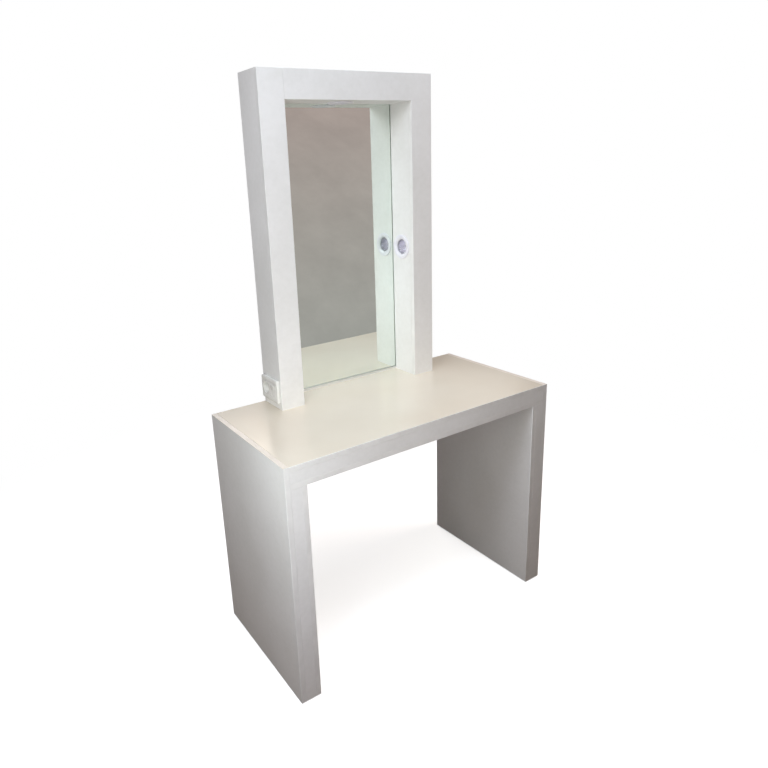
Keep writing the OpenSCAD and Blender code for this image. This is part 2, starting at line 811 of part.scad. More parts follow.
// Snap bushing in the back panel that the mains cable enters by
module cable_bushing() {
    hole = bushing_bore / 2 + 3.5;
    bore = bushing_bore / 2;
    color(dark) translate([-jamb_mid, panel_back, desk_h + bushing_rise]) rotate([-90, 0, 0])
        rotate_extrude() polygon([[bore, -back_t - 4], [hole - 1.2, -back_t - 4],
            [hole + 0.9, -back_t - 0.5], [hole + 0.9, -back_t - 0.1], [hole - 0.2, -back_t - 0.1],
            [hole - 0.2, 0], [hole + 3, 0], [hole + 2.6, 1.2], [hole + 1.6, 1.9], [bore + 0.8, 1.9],
            [bore, 1.2]]);
}

// Outlet

module at_outlet() {
    translate(outlet_at) rotate(outlet_turn) children();
}

module at_socket() {
    at_outlet() translate([-pitch / 2, 0, 0]) children();
}

module at_switch() {
    at_outlet() translate([pitch / 2, 0, 0]) children();
}

// Moulded box let into the side panel, its rim on the panel's face
module outlet_box() {
    color(dark) at_outlet() difference() {
        union() {
            translate([0, 0, -box_depth]) linear_extrude(box_depth + rim_t)
                square([box_w, box_h], center = true);
            linear_extrude(rim_t) difference() {
                round_rect(box_w + 6, 2 * outlet_screw_y + 8, 3);
                for (y = [-1, 1]) translate([0, y * outlet_screw_y]) circle(d = clear_d, $fn = 24);
            }
        }
        translate([0, 0, box_wall - box_depth]) linear_extrude(box_depth + rim_t)
            square([box_w - 2 * box_wall, box_h - 2 * box_wall], center = true);
        translate([0, 0, -box_depth - 1]) cylinder(d = 20, h = box_wall + 2);
        translate([feed_fore, 0, -board_t - feed_in]) rotate([-90, 0, 0])
            cylinder(d = 7, h = box_h, $fn = 24);
    }
}

// The outlet's two screws, at the mounting frame's face
module at_outlet_screws() {
    at_outlet() for (y = [-1, 1]) translate([0, y * outlet_screw_y, shoulder_z]) children();
}

// Frame that carries both modules, under the cover plate
module outlet_mounting_frame() {
    color(nylon) at_outlet() translate([0, 0, rim_t]) linear_extrude(mount_t) difference() {
        round_rect(plate_w - 6, plate_h - 8, 4);
        square([pitch + body_w + 0.6, body_h + 0.6], center = true);
        for (y = [-1, 1]) translate([0, y * outlet_screw_y]) circle(d = clear_d, $fn = 24);
    }
}

// Cover plate with a crowned edge, hollow behind its window
module outlet_plate() {
    color(edge_white) at_outlet() difference() {
        hull() {
            translate([0, 0, seat]) linear_extrude(plate_t - 4) round_rect(plate_w, plate_h, 8);
            linear_extrude(plate_t - 1.6) round_rect(plate_w - 1.6, plate_h - 1.6, 7.4);
            linear_extrude(plate_t - 0.5) round_rect(plate_w - 4.6, plate_h - 4.6, 6);
            linear_extrude(plate_t) round_rect(plate_w - 9, plate_h - 9, 4);
        }
        translate([0, 0, -1]) linear_extrude(plate_t + 2) square([pair_w, module_w + 0.6], center = true);
        translate([0, 0, -1]) linear_extrude(plate_t - 1) round_rect(plate_w - 5, plate_h - 5, 5.5);
    }
}

// A module's face and the body behind it
module module_solid() {
    translate([0, 0, shoulder_z]) linear_extrude(face_z - shoulder_z) round_rect(module_w, module_w, 1.2);
    translate([0, 0, body_z]) linear_extrude(shoulder_z - body_z) square([body_w, body_h], center = true);
}

// Socket: a round recess with two pin holes, two guide ribs and the slots of the earth clip
module socket_body() {
    slot_w = 5.4;
    color(edge_white) at_socket() difference() {
        module_solid();
        difference() {
            translate([0, 0, recess_z]) cylinder(d = recess_d, h = recess_h + 1, $fn = 96);
            for (s = [-1, 1]) translate([s * recess_d / 2, 0, recess_z + (recess_h - 4) / 2])
                cube([3.2, 4.6, recess_h - 4], center = true);
        }
        for (s = [-1, 1]) translate([s * pin_pitch / 2, 0, 0]) {
            translate([0, 0, body_z - 1]) cylinder(d = pin_d, h = recess_z - body_z + 2);
            translate([0, 0, body_z - 1]) cylinder(d = sleeve_d + slip, h = sleeve_len + 1);
        }
        for (s = [-1, 1]) translate([0, s * (recess_d / 2 - 0.6), (body_z + face_z) / 2 - 3.5])
            cube([slot_w, 3.2, face_z - body_z - 5], center = true);
        translate([0, 0, body_z + 0.8]) cube([slot_w, recess_d + 2, 1.8], center = true);
    }
}

// Brass sleeves behind the pin holes, and the earth clip, a strap bent up at both ends
module socket_contacts() {
    clip_t = 0.8;
    clip_y = recess_d / 2 + 0.4;
    clip_top = face_z - 8;
    half = [[clip_y, body_z + clip_t], [clip_y, clip_top - 9], [clip_y - 2.6, clip_top - 4],
        [clip_y - 0.6, clip_top]];
    shape = concat([for (p = half) [-p[0], p[1]]],
        [for (k = [len(half) - 1:-1:1]) [-half[k][0] + clip_t, half[k][1]]],
        [[-clip_y + clip_t, body_z + 2 * clip_t], [clip_y - clip_t, body_z + 2 * clip_t]],
        [for (k = [1:len(half) - 1]) [half[k][0] - clip_t, half[k][1]]],
        [for (k = [len(half) - 1:-1:0]) half[k]]);
    color(brass) at_socket() {
        for (s = [-1, 1]) translate([s * pin_pitch / 2, 0, body_z]) difference() {
            cylinder(d = sleeve_d, h = sleeve_len - slip);
            translate([0, 0, -1]) cylinder(d = sleeve_bore, h = sleeve_len + 2);
        }
        rotate([90, 0, 90]) linear_extrude(4.6, center = true) polygon(shape);
    }
}

// Switch body: the rocker's window, the wider room under it, the trunnions' bores and the
// chamber of the contacts
module switch_body() {
    window_h = 2 * sqrt(rocker_r * rocker_r - pow(face_z - 1.5 - pivot_z, 2)) + 0.8;
    play = 0.3;
    color(edge_white) at_switch() difference() {
        module_solid();
        translate([0, 0, face_z]) cube([rocker_w + 2 * play, window_h, 6], center = true);
        translate([0, 0, (3.2 + face_z - 1.5) / 2])
            cube([rocker_w + 2 * play, 2 * rocker_r + 0.6, face_z - 1.5 - 3.2], center = true);
        translate([0, 0, -1.2]) cube([rocker_w + 2 * play, 20, 9.6], center = true);
        translate([0, 0, -10]) cube([10, 2 * bridge_half + 3, 9], center = true);
        translate([0, 0, pivot_z]) rotate([0, 90, 0])
            cylinder(d = trunnion_d + 2 * trunnion_play, h = rocker_w + 2 * (trunnion_len + play),
                center = true);
        for (y = [0, -bridge_half + 1]) translate([0, y, body_z]) cube([3.4, 1.4, 6], center = true);
    }
}

// Rocker: two faces that meet in a shallow dip, ends struck about the pivot, cheeks with
// trunnions, and a boss that the spring plunger slides in
module switch_rocker() {
    reach = rocker_r + 1;
    rise = reach * tan(tilt);
    color(edge_white) at_switch() translate([0, 0, pivot_z]) rotate([tilt, 0, 0]) difference() {
        union() {
            rotate([90, 0, 90]) linear_extrude(rocker_w, center = true) intersection() {
                circle(r = rocker_r, $fn = 96);
                polygon([[-reach, rocker_skirt], [reach, rocker_skirt], [reach, rocker_dip + rise],
                    [0, rocker_dip], [-reach, rocker_dip + rise]]);
            }
            for (s = [-1, 1]) translate([s * (rocker_w - cheek_t) / 2, 0, 0]) rotate([90, 0, 90])
                linear_extrude(cheek_t, center = true) {
                    circle(r = 3.4);
                    translate([-3.4, 0]) square([6.8, rocker_skirt + 1]);
                }
            translate([0, 0, boss_end]) cylinder(d = boss_d, h = rocker_skirt - boss_end + 1);
            rotate([0, 90, 0]) cylinder(d = trunnion_d, h = rocker_w + 2 * trunnion_len, center = true);
        }
        rotate([0, 90, 0]) cylinder(d = trunnion_d + 4, h = rocker_w - 2 * cheek_t, center = true);
        translate([0, 0, boss_end - 1]) cylinder(d = plunger_d + 2 * slip, h = bore_top - boss_end + 1);
    }
}

// Steel plunger with a round nose, and the coil spring that drives it
module switch_plunger() {
    turns = 5;
    wire = 0.6;
    nose_r = plunger_d / 2;
    coil_r = nose_r - wire / 2;
    gap = bore_top - plunger_back - wire - 2 * slip;
    steps = 12 * turns;
    helix = [for (i = [0:steps]) let (a = 360 * turns * i / steps)
        [coil_r * cos(a), coil_r * sin(a), plunger_back + slip + wire / 2 + gap * i / steps]];
    color(metal) at_switch() translate([0, 0, pivot_z]) rotate([tilt, 0, 0]) {
        rotate_extrude($fn = 32) polygon(concat([[0, plunger_tip]],
            [for (a = [20:20:80]) [nose_r * sin(a), plunger_tip + nose_r * (1 - cos(a))]],
            [[nose_r, plunger_tip + nose_r], [nose_r, plunger_back], [0, plunger_back]]));
        tube(helix, wire, 6);
    }
}

// Contact bridge, a strip with a rivet at each end. The groove in its middle rocks on the middle
// terminal's round edge, the other way from the rocker.
module switch_bridge() {
    color(brass) at_switch() translate([0, 0, pivot_z + bridge_pivot])
        rotate([-bridge_swing, 0, 0]) {
            difference() {
                translate([0, 0, bridge_t / 2]) cube([4, 2 * bridge_half, bridge_t], center = true);
                rotate([0, 90, 0]) cylinder(r = bead_r + contact_gap, h = 5, center = true, $fn = 24);
            }
            for (y = [-1, 1]) translate([0, y * contact_y, -contact_drop])
                cylinder(d = contact_d, h = contact_drop + bridge_t / 4, $fn = 24);
        }
}

// Middle terminal with the round edge that the bridge rocks on, and the lower contact's
// terminal, which a rivet of the bridge meets at the end of its swing
module switch_terminals() {
    edge_z = pivot_z + bridge_pivot;
    reach = contact_y + contact_d / 2;
    meet_z = edge_z - reach * sin(bridge_swing) - contact_drop * cos(bridge_swing) - contact_gap;
    head = 0.6;
    blade = meet_z - head - tail_end;
    color(brass) at_switch() {
        rotate([90, 0, 90]) linear_extrude(3, center = true) {
            polygon([[-0.5, tail_end], [0.5, tail_end], [0.5, edge_z - 1.2], [0.25, edge_z],
                [-0.25, edge_z], [-0.5, edge_z - 1.2]]);
            translate([0, edge_z]) circle(r = bead_r, $fn = 24);
        }
        translate([0, 1 - bridge_half, tail_end]) {
            translate([0, 0, blade / 2]) cube([3, 1, blade], center = true);
            translate([0, 0, blade]) cylinder(d = contact_d, h = head, $fn = 24);
        }
    }
}

desk_top();
desk_underside();
desk_edging();
desk_front_rail();
desk_back_rail();
desk_core_battens();
leg_outer_panel();  // left_leg_outer_panel
leg_inner_panel();  // left_leg_inner_panel
leg_front_strip();  // left_leg_front_strip
leg_back_strip();  // left_leg_back_strip
mirror([1, 0, 0]) leg_outer_panel();  // right_leg_outer_panel
mirror([1, 0, 0]) leg_inner_panel();  // right_leg_inner_panel
mirror([1, 0, 0]) leg_front_strip();  // right_leg_front_strip
mirror([1, 0, 0]) leg_back_strip();  // right_leg_back_strip
leg_core_rails();
leg_edging();
leg_dowels();
glides();
stile();  // left_stile
mirror([1, 0, 0]) stile();  // right_stile
header_board();
frame_edging();
left_side_panel();
mirror([1, 0, 0]) side_panel();  // right_side_panel
frame_cap();
reveal();  // left_reveal
mirror([1, 0, 0]) reveal();  // right_reveal
header_soffit();
foot_rails();
back_battens();
back_panel();
pan_head_screws();
mirror_glass();
mirror_foot_channel();
frame_bolts();
access_caps();
spot_flange(0);  // left_spot_flange
spot_flange(1);  // right_spot_flange
spot_flange(2);  // header_spot_flange
spot_lamp(0);  // left_spot_lamp
spot_lamp(1);  // right_spot_lamp
spot_lamp(2);  // header_spot_lamp
spot_lenses();
spot_springs();
spot_holders();
lamp_transformer();
terminal_block();
lamp_leads();
feed_leads();
cable_bushing();
outlet_box();
outlet_mounting_frame();
outlet_plate();
socket_body();
socket_contacts();
switch_body();
switch_rocker();
switch_plunger();
switch_bridge();
switch_terminals();
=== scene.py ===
"""Looks of the makeup station: its finishes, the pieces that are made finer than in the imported
model, and the studio round it. Metres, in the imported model's frame."""

import json
import math

import bmesh
import bpy
from mathutils import Matrix, Vector
from mathutils.bvhtree import BVHTree


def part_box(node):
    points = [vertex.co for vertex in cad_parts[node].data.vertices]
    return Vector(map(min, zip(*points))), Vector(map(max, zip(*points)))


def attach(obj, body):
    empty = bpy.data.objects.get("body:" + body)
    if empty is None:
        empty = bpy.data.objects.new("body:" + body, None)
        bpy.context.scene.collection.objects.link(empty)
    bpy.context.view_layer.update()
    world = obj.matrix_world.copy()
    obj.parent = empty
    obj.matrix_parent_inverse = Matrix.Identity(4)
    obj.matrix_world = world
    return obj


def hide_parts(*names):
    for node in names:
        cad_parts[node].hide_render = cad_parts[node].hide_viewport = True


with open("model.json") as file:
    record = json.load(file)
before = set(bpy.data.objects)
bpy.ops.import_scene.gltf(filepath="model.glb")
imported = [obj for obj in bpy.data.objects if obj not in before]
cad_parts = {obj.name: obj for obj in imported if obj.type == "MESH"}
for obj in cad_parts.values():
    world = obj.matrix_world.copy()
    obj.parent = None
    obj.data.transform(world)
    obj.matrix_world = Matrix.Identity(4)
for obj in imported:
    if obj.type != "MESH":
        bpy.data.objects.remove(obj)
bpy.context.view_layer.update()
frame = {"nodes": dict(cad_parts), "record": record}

MM = 0.001

# Colours and nodes

# A Mix node's sockets for colours have the same names as those for numbers, so they go by place.
MIX_SHARE = 0
MIX_A = 6
MIX_B = 7
MIXED = 2


def linear(colour):
    """An sRGB hex colour as linear RGBA."""
    parts = [int(colour[i : i + 2], 16) / 255 for i in (1, 3, 5)]
    return [p / 12.92 if p <= 0.04045 else ((p + 0.055) / 1.055) ** 2.4 for p in parts] + [1.0]


def per(mm):
    """Texture scale at which a pattern's feature is that many millimetres."""
    return 1 / (mm * MM)


def wire(tree, node, inputs):
    """Sets a node's inputs. A hex colour is turned linear, and a node gives its first output."""
    for key, value in inputs.items():
        if isinstance(value, bpy.types.Node):
            value = value.outputs[0]
        if isinstance(value, bpy.types.NodeSocket):
            tree.links.new(value, node.inputs[key])
        elif isinstance(value, str) and value.startswith("#"):
            node.inputs[key].default_value = linear(value)
        else:
            node.inputs[key].default_value = value


def add(tree, kind, inputs=None, stops=(), **settings):
    """Adds a node with its settings and links. Stops are a ramp's places and colours."""
    node = tree.nodes.new(kind)
    for name, value in settings.items():
        setattr(node, name, value)
    wire(tree, node, inputs or {})
    for i, (place, colour) in enumerate(stops):
        element = node.color_ramp.elements[i] if i < 2 else node.color_ramp.elements.new(place)
        element.position = place
        element.color = linear(colour)
    return node


def blank(name):
    """A new material: itself, its tree, its shader and the piece's own coordinates."""
    made = bpy.data.materials.new(name)
    made.use_nodes = True
    tree = made.node_tree
    place = add(tree, "ShaderNodeTexCoord").outputs["Object"]
    return made, tree, tree.nodes["Principled BSDF"], place


def rubbed(tree, base, share, bare):
    """A colour that a share of the bare one mixes into along the arrises, where hands rub."""
    arris = add(tree, "ShaderNodeAttribute", attribute_name="arris").outputs["Fac"]
    worn = add(tree, "ShaderNodeMath", {0: arris, 1: share}, operation="MULTIPLY")
    mix = {MIX_SHARE: worn, MIX_A: base, MIX_B: bare}
    return add(tree, "ShaderNodeMix", mix, data_type="RGBA").outputs[MIXED]


# Finishes


def faced_board(name, light, dark):
    """Melamine faced chipboard, pressed against a satin plate. The plate leaves a stipple of
    0.6 mm, drawn here at 2.5 mm so that it shows. The colour has a breath of tone over the sheet,
    hands leave faint smears that only the gloss shows, and the arrises are a touch greyer."""
    made, tree, shader, place = blank(name)
    broad = add(tree, "ShaderNodeTexNoise", {"Vector": place, "Scale": per(230), "Detail": 3.0})
    fine = add(tree, "ShaderNodeTexNoise", {"Vector": place, "Scale": per(14), "Detail": 3.0})
    tone = add(tree, "ShaderNodeMix", {"Factor": 0.3, "A": broad, "B": fine})
    base = add(tree, "ShaderNodeValToRGB", {"Fac": tone}, stops=[(0.36, dark), (0.62, light)])
    colour = rubbed(tree, base, 0.3, "#BDBCB8")
    wiped = add(tree, "ShaderNodeMapping", {"Vector": place, "Scale": (1.0, 1.0, 0.35)})
    smear = add(
        tree,
        "ShaderNodeTexNoise",
        {"Vector": wiped, "Scale": per(120), "Detail": 4.0, "Roughness": 0.6},
    )
    dull = add(tree, "ShaderNodeMapRange", {"Value": smear, "To Min": 0.3, "To Max": 0.52})
    stipple = add(tree, "ShaderNodeTexNoise", {"Vector": place, "Scale": per(2.5), "Detail": 1.0})
    bump = add(tree, "ShaderNodeBump", {"Height": stipple, "Distance": 0.03 * MM})
    wire(tree, shader, {"Base Color": colour, "Roughness": dull, "Normal": bump, "IOR": 1.5})
    return made


def cream_laminate():
    """High pressure laminate, whose melamine resin bends light more than most plastics do, with
    a satin face. Its cream has faint pores of 2 mm by 90 mm along the desk, and it is smooth
    enough to show what stands on it as a pale cloud."""
    made, tree, shader, place = blank("cream_satin_laminate")
    along = add(tree, "ShaderNodeMapping", {"Vector": place, "Scale": (per(90), per(2), per(90))})
    pores = add(
        tree,
        "ShaderNodeTexNoise",
        {"Vector": along, "Scale": 1.0, "Detail": 4.0, "Roughness": 0.65},
    )
    broad = add(tree, "ShaderNodeTexNoise", {"Vector": place, "Scale": per(310), "Detail": 3.0})
    base = add(
        tree, "ShaderNodeValToRGB", {"Fac": broad}, stops=[(0.34, "#DFD3C0"), (0.66, "#E6DCCB")]
    )
    share = add(tree, "ShaderNodeMath", {0: pores, 1: 0.14}, operation="MULTIPLY")
    mix = {MIX_SHARE: share, MIX_A: base, MIX_B: "#CFC0A4"}
    grained = add(tree, "ShaderNodeMix", mix, data_type="RGBA").outputs[MIXED]
    colour = rubbed(tree, grained, 0.4, "#B5A78D")
    smear = add(
        tree,
        "ShaderNodeTexNoise",
        {"Vector": place, "Scale": per(150), "Detail": 5.0, "Roughness": 0.6},
    )
    dull = add(tree, "ShaderNodeMapRange", {"Value": smear, "To Min": 0.29, "To Max": 0.42})
    bump = add(tree, "ShaderNodeBump", {"Height": pores, "Distance": 0.02 * MM, "Strength": 0.6})
    wire(
        tree,
        shader,
        {
            "Base Color": colour,
            "Roughness": dull,
            "Normal": bump,
            "IOR": 1.65,
            "Coat Weight": 1.0,
            "Coat Roughness": 0.18,
            "Coat IOR": 1.65,
        },
    )
    return made


def scraped_edging(name, light, dark):
    """ABS edging in the board's colour, glued on and scraped flush. The scraper's lines are
    1.5 mm wide and 83 mm long, and run upright, along the strips of the legs and the jambs."""
    made, tree, shader, place = blank(name)
    along = add(tree, "ShaderNodeMapping", {"Vector": place, "Scale": (per(1.5), per(1.5), 12.0)})
    lines = add(tree, "ShaderNodeTexNoise", {"Vector": along, "Scale": 1.0, "Detail": 2.0})
    broad = add(tree, "ShaderNodeTexNoise", {"Vector": place, "Scale": per(45), "Detail": 3.0})
    base = add(tree, "ShaderNodeValToRGB", {"Fac": broad}, stops=[(0.35, dark), (0.65, light)])
    dull = add(tree, "ShaderNodeMapRange", {"Value": lines, "To Min": 0.3, "To Max": 0.46})
    bump = add(tree, "ShaderNodeBump", {"Height": lines, "Distance": 0.02 * MM, "Strength": 0.6})
    wire(tree, shader, {"Base Color": base, "Roughness": dull, "Normal": bump, "IOR": 1.53})
    return made


def raw_chipboard():
    """Pressed chips of 1 to 4 mm in the brown of their glue: matt, pitted, speckled."""
    made, tree, shader, place = blank("raw_chipboard")
    chips = add(tree, "ShaderNodeTexVoronoi", {"Vector": place, "Scale": per(2.4)})
    chip = add(tree, "ShaderNodeSeparateColor", {"Color": chips.outputs["Color"]})
    base = add(
        tree,
        "ShaderNodeValToRGB",
        {"Fac": chip},
        stops=[(0.0, "#8F7249"), (0.35, "#BC9E6F"), (0.7, "#CFB78A"), (1.0, "#E0CFA8")],
    )
    bump = add(tree, "ShaderNodeBump", {"Height": chips, "Distance": 0.2 * MM})
    wire(tree, shader, {"Base Color": base, "Roughness": 0.9, "Normal": bump})
    return made


def turned_beech():
    """Beech dowel, turned: pale pink brown, with dark flecks of 2 mm by 12 mm."""
    made, tree, shader, place = blank("turned_beech")
    along = add(tree, "ShaderNodeMapping", {"Vector": place, "Scale": (per(2), per(2), per(12))})
    grain = add(tree, "ShaderNodeTexNoise", {"Vector": along, "Scale": 1.0, "Detail": 3.0})
    base = add(
        tree,
        "ShaderNodeValToRGB",
        {"Fac": grain},
        stops=[(0.35, "#B98F62"), (0.5, "#D3AE82"), (0.7, "#DDBD95")],
    )
    bump = add(tree, "ShaderNodeBump", {"Height": grain, "Distance": 0.04 * MM})
    wire(tree, shader, {"Base Color": base, "Roughness": 0.6, "Normal": bump})
    return made


def faced_hardboard():
    """Hardboard with a white printed face: even and dull, with the weave of the press screen,
    whose wires are 1.1 mm apart."""
    made, tree, shader, place = blank("white_faced_hardboard")
    screen = add(
        tree, "ShaderNodeTexVoronoi", {"Vector": place, "Scale": per(1.1), "Randomness": 0.35}
    )
    broad = add(tree, "ShaderNodeTexNoise", {"Vector": place, "Scale": per(200), "Detail": 4.0})
    base = add(
        tree, "ShaderNodeValToRGB", {"Fac": broad}, stops=[(0.34, "#D9D8D3"), (0.66, "#E3E2DE")]
    )
    dull = add(tree, "ShaderNodeMapRange", {"Value": broad, "To Min": 0.52, "To Max": 0.66})
    bump = add(tree, "ShaderNodeBump", {"Height": screen, "Distance": 0.04 * MM})
    wire(tree, shader, {"Base Color": base, "Roughness": dull, "Normal": bump})
    return made


def silvered_glass():
    """Float glass, silvered behind. Its iron turns what it shows faintly green, and the film
    that a cleaning cloth leaves dulls it by a trace in wide wipes."""
    made, tree, shader, place = blank("silvered_float_glass")
    film = add(
        tree,
        "ShaderNodeTexNoise",
        {"Vector": place, "Scale": per(160), "Detail": 5.0, "Roughness": 0.65},
    )
    base = add(
        tree, "ShaderNodeValToRGB", {"Fac": film}, stops=[(0.3, "#F0F7F2"), (0.7, "#EBF3EE")]
    )
    dull = add(tree, "ShaderNodeMapRange", {"Value": film, "To Min": 0.0, "To Max": 0.025})
    wire(tree, shader, {"Base Color": base, "Roughness": dull, "Metallic": 1.0})
    return made


def metal(name, light, dark, dull, mark_mm, deep_mm=0.005):
    """Bare metal. Its marks are as long along each axis, in mm, as mark_mm says, and they stir
    its tone, its gloss and its surface."""
    made, tree, shader, place = blank(name)
    scale = tuple(per(length) for length in mark_mm)
    along = add(tree, "ShaderNodeMapping", {"Vector": place, "Scale": scale})
    marks = add(
        tree,
        "ShaderNodeTexNoise",
        {"Vector": along, "Scale": 1.0, "Detail": 4.0, "Roughness": 0.6},
    )
    base = add(tree, "ShaderNodeValToRGB", {"Fac": marks}, stops=[(0.32, dark), (0.68, light)])
    gloss = add(
        tree, "ShaderNodeMapRange", {"Value": marks, "To Min": dull - 0.07, "To Max": dull + 0.07}
    )
    bump = add(tree, "ShaderNodeBump", {"Height": marks, "Distance": deep_mm * MM})
    wire(
        tree, shader, {"Base Color": base, "Roughness": gloss, "Normal": bump, "Metallic": 1.0}
    )
    return made


def stove_enamel():
    """White stove enamel, sprayed on the pressed flange: satin, with a faint violet cast and
    an orange peel of 1.5 mm from hill to hill."""
    made, tree, shader, place = blank("white_stove_enamel")
    broad = add(tree, "ShaderNodeTexNoise", {"Vector": place, "Scale": per(11), "Detail": 3.0})
    base = add(
        tree, "ShaderNodeValToRGB", {"Fac": broad}, stops=[(0.35, "#E2E1E9"), (0.65, "#EAE9EF")]
    )
    dull = add(tree, "ShaderNodeMapRange", {"Value": broad, "To Min": 0.3, "To Max": 0.4})
    peel = add(tree, "ShaderNodeTexNoise", {"Vector": place, "Scale": per(1.5), "Detail": 1.0})
    bump = add(tree, "ShaderNodeBump", {"Height": peel, "Distance": 0.03 * MM, "Strength": 0.6})
    wire(tree, shader, {"Base Color": base, "Roughness": dull, "Normal": bump, "IOR": 1.5})
    return made


def dichroic_glass():
    """Pressed reflector glass under a dichroic coat: facets that shine in lilac, pale blue and
    a little gold, each with a shade of its own."""
    made, tree, shader, place = blank("dichroic_reflector_glass")
    facet = add(tree, "ShaderNodeAttribute", attribute_name="facet").outputs["Fac"]
    drift = add(tree, "ShaderNodeTexNoise", {"Vector": place, "Scale": per(8), "Detail": 2.0})
    shade = add(tree, "ShaderNodeMix", {"Factor": 0.4, "A": facet, "B": drift})
    base = add(
        tree,
        "ShaderNodeValToRGB",
        {"Fac": shade},
        stops=[(0.1, "#D9DAEA"), (0.4, "#E4E1F2"), (0.65, "#EFEDF8"), (0.95, "#F3EFE6")],
    )
    dull = add(tree, "ShaderNodeMapRange", {"Value": drift, "To Min": 0.3, "To Max": 0.45})
    ripple = add(tree, "ShaderNodeTexNoise", {"Vector": place, "Scale": per(0.7)})
    bump = add(tree, "ShaderNodeBump", {"Height": ripple, "Distance": 0.01 * MM})
    wire(
        tree, shader, {"Base Color": base, "Roughness": dull, "Normal": bump, "Metallic": 0.35}
    )
    return made


def clear_glass(name, tint, dimple_mm, dull):
    """Clear glass whose surface waves softly, one wave every dimple_mm. Two thirds of the light
    pass it straight, so that what lies behind is lit."""
    made, tree, shader, place = blank(name)
    wave = add(
        tree, "ShaderNodeTexNoise", {"Vector": place, "Scale": per(dimple_mm), "Detail": 1.0}
    )
    base = add(tree, "ShaderNodeValToRGB", {"Fac": wave}, stops=[(0.3, tint), (0.7, "#FFFFFF")])
    gloss = add(tree, "ShaderNodeMapRange", {"Value": wave, "To Min": dull, "To Max": dull + 0.06})
    bump = add(tree, "ShaderNodeBump", {"Height": wave, "Distance": 0.1 * MM, "Strength": 0.4})
    wire(
        tree,
        shader,
        {
            "Base Color": base,
            "Roughness": gloss,
            "Normal": bump,
            "Transmission Weight": 1.0,
            "IOR": 1.5,
            "Alpha": 0.35,
        },
    )
    return made


def moulded(name, light, dark, dull, spark_mm=1.1, deep_mm=0.01):
    """Moulded plastic or ceramic. Its colour is even but for flow marks of 22 mm, and the mould
    leaves a grain of spark_mm."""
    made, tree, shader, place = blank(name)
    flow = add(tree, "ShaderNodeTexNoise", {"Vector": place, "Scale": per(22), "Detail": 3.0})
    base = add(tree, "ShaderNodeValToRGB", {"Fac": flow}, stops=[(0.35, dark), (0.65, light)])
    gloss = add(
        tree, "ShaderNodeMapRange", {"Value": flow, "To Min": dull - 0.05, "To Max": dull + 0.08}
    )
    spark = add(tree, "ShaderNodeTexNoise", {"Vector": place, "Scale": per(spark_mm)})
    bump = add(tree, "ShaderNodeBump", {"Height": spark, "Distance": deep_mm * MM})
    wire(tree, shader, {"Base Color": base, "Roughness": gloss, "Normal": bump, "IOR": 1.5})
    return made


finishes = {
    "white_board": faced_board("white_melamine_board", "#EBEBEA", "#E3E3E1"),
    "beige_board": cream_laminate(),
    "raw_board": raw_chipboard(),
    "beech": turned_beech(),
    "back_board": faced_hardboard(),
    "edging": scraped_edging("white_abs_edging", "#EAEAE8", "#E3E3E1"),
    # natural polyamide, moulded: milky, waxy and a little yellow
    "nylon": moulded("natural_polyamide", "#DEDCD2", "#D0CEC3", 0.42),
    "mirror": silvered_glass(),
    # anodised aluminium, rolled and brushed along X: long fine lines with a soft even gloss
    "channel": metal("anodised_aluminium", "#F2F4F2", "#E6E9E7", 0.42, (70, 1.2, 1.2)),
    # zinc plated steel, bright dipped: bluish white with cloudy patches of 6 mm
    "fixings": metal("zinc_plated_steel", "#C9CDD1", "#AEB4BA", 0.36, (6, 6, 6)),
    # spring steel, hard drawn: grey, with marks of 4 mm
    "spring_steel": metal("spring_steel", "#A9ABAD", "#8C8F92", 0.36, (4, 4, 4)),
    "flange_enamel": stove_enamel(),
    "lamp_glass": dichroic_glass(),
    # borosilicate lens, pressed: dimples of 2.5 mm that even out the beam
    "lens_glass": clear_glass("pressed_lens_glass", "#F1F3F8", 2.5, 0.02),
    # steatite, glazed: ivory and glassy with tiny pits
    "ceramic": moulded("glazed_steatite", "#E9E5DA", "#DDD8CB", 0.19, 0.8, 0.02),
    # polycarbonate, moulded against a sparked steel: light grey and matt
    "casing": moulded("light_grey_polycarbonate", "#DCDDDD", "#D0D1D2", 0.5, 0.9, 0.04),
    # silicone, extruded: soft, dull and slightly grey
    "white_lead": moulded("white_silicone_sheath", "#E4E3DE", "#D6D5CF", 0.6),
    # PVC, extruded: dark grey with a greasy shine
    "dark_lead": moulded("dark_grey_pvc_sheath", "#3A3B3D", "#2E2F31", 0.48),
    # glass filled polyamide, moulded: dark grey, matt, with a coarse grain
    "dark_plastic": moulded("dark_grey_polyamide", "#404143", "#333436", 0.52, 1.2, 0.03),
    # urea resin, pressed and polished: hard, white and glossy
    "outlet_plastic": moulded("white_urea_resin", "#E9E9E6", "#E1E1DD", 0.19, 2.0),
    # brass, stamped from rolled strip: yellow and a little tarnished
    "contact_brass": metal("stamped_brass", "#D8B266", "#B98F45", 0.36, (3, 3, 3)),
}
# tungsten, drawn and coiled: dark grey
filament_wire = metal("tungsten_wire", "#77787A", "#5B5C5E", 0.4, (1, 1, 1))
# quartz, drawn as a tube: clear with a fine ripple
quartz = clear_glass("quartz_tube", "#F4F6F8", 1.1, 0.02)
# the strips in the desk's top are matched to its laminate, a shade paler
pale_edging = scraped_edging("cream_abs_edging", "#E8DED2", "#E1D7CA")

slot_of = {s["node"]: s["material_slot"] for s in frame["record"]["subparts"]}

# Making pieces


def in_scene(name, data):
    """A new object in the scene, at the origin."""
    made = bpy.data.objects.new(name, data)
    bpy.context.scene.collection.objects.link(made)
    return made


def piece(name, shape, slot, body="station", instead_of=(), finish=None):
    """Turns a bmesh into a piece that rides on a body and stands for CAD nodes."""
    data = bpy.data.meshes.new(name)
    shape.to_mesh(data)
    shape.free()
    data.materials.append(finish or finishes[slot])
    made = in_scene(name, data)
    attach(made, body)
    if instead_of:
        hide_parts(*instead_of)


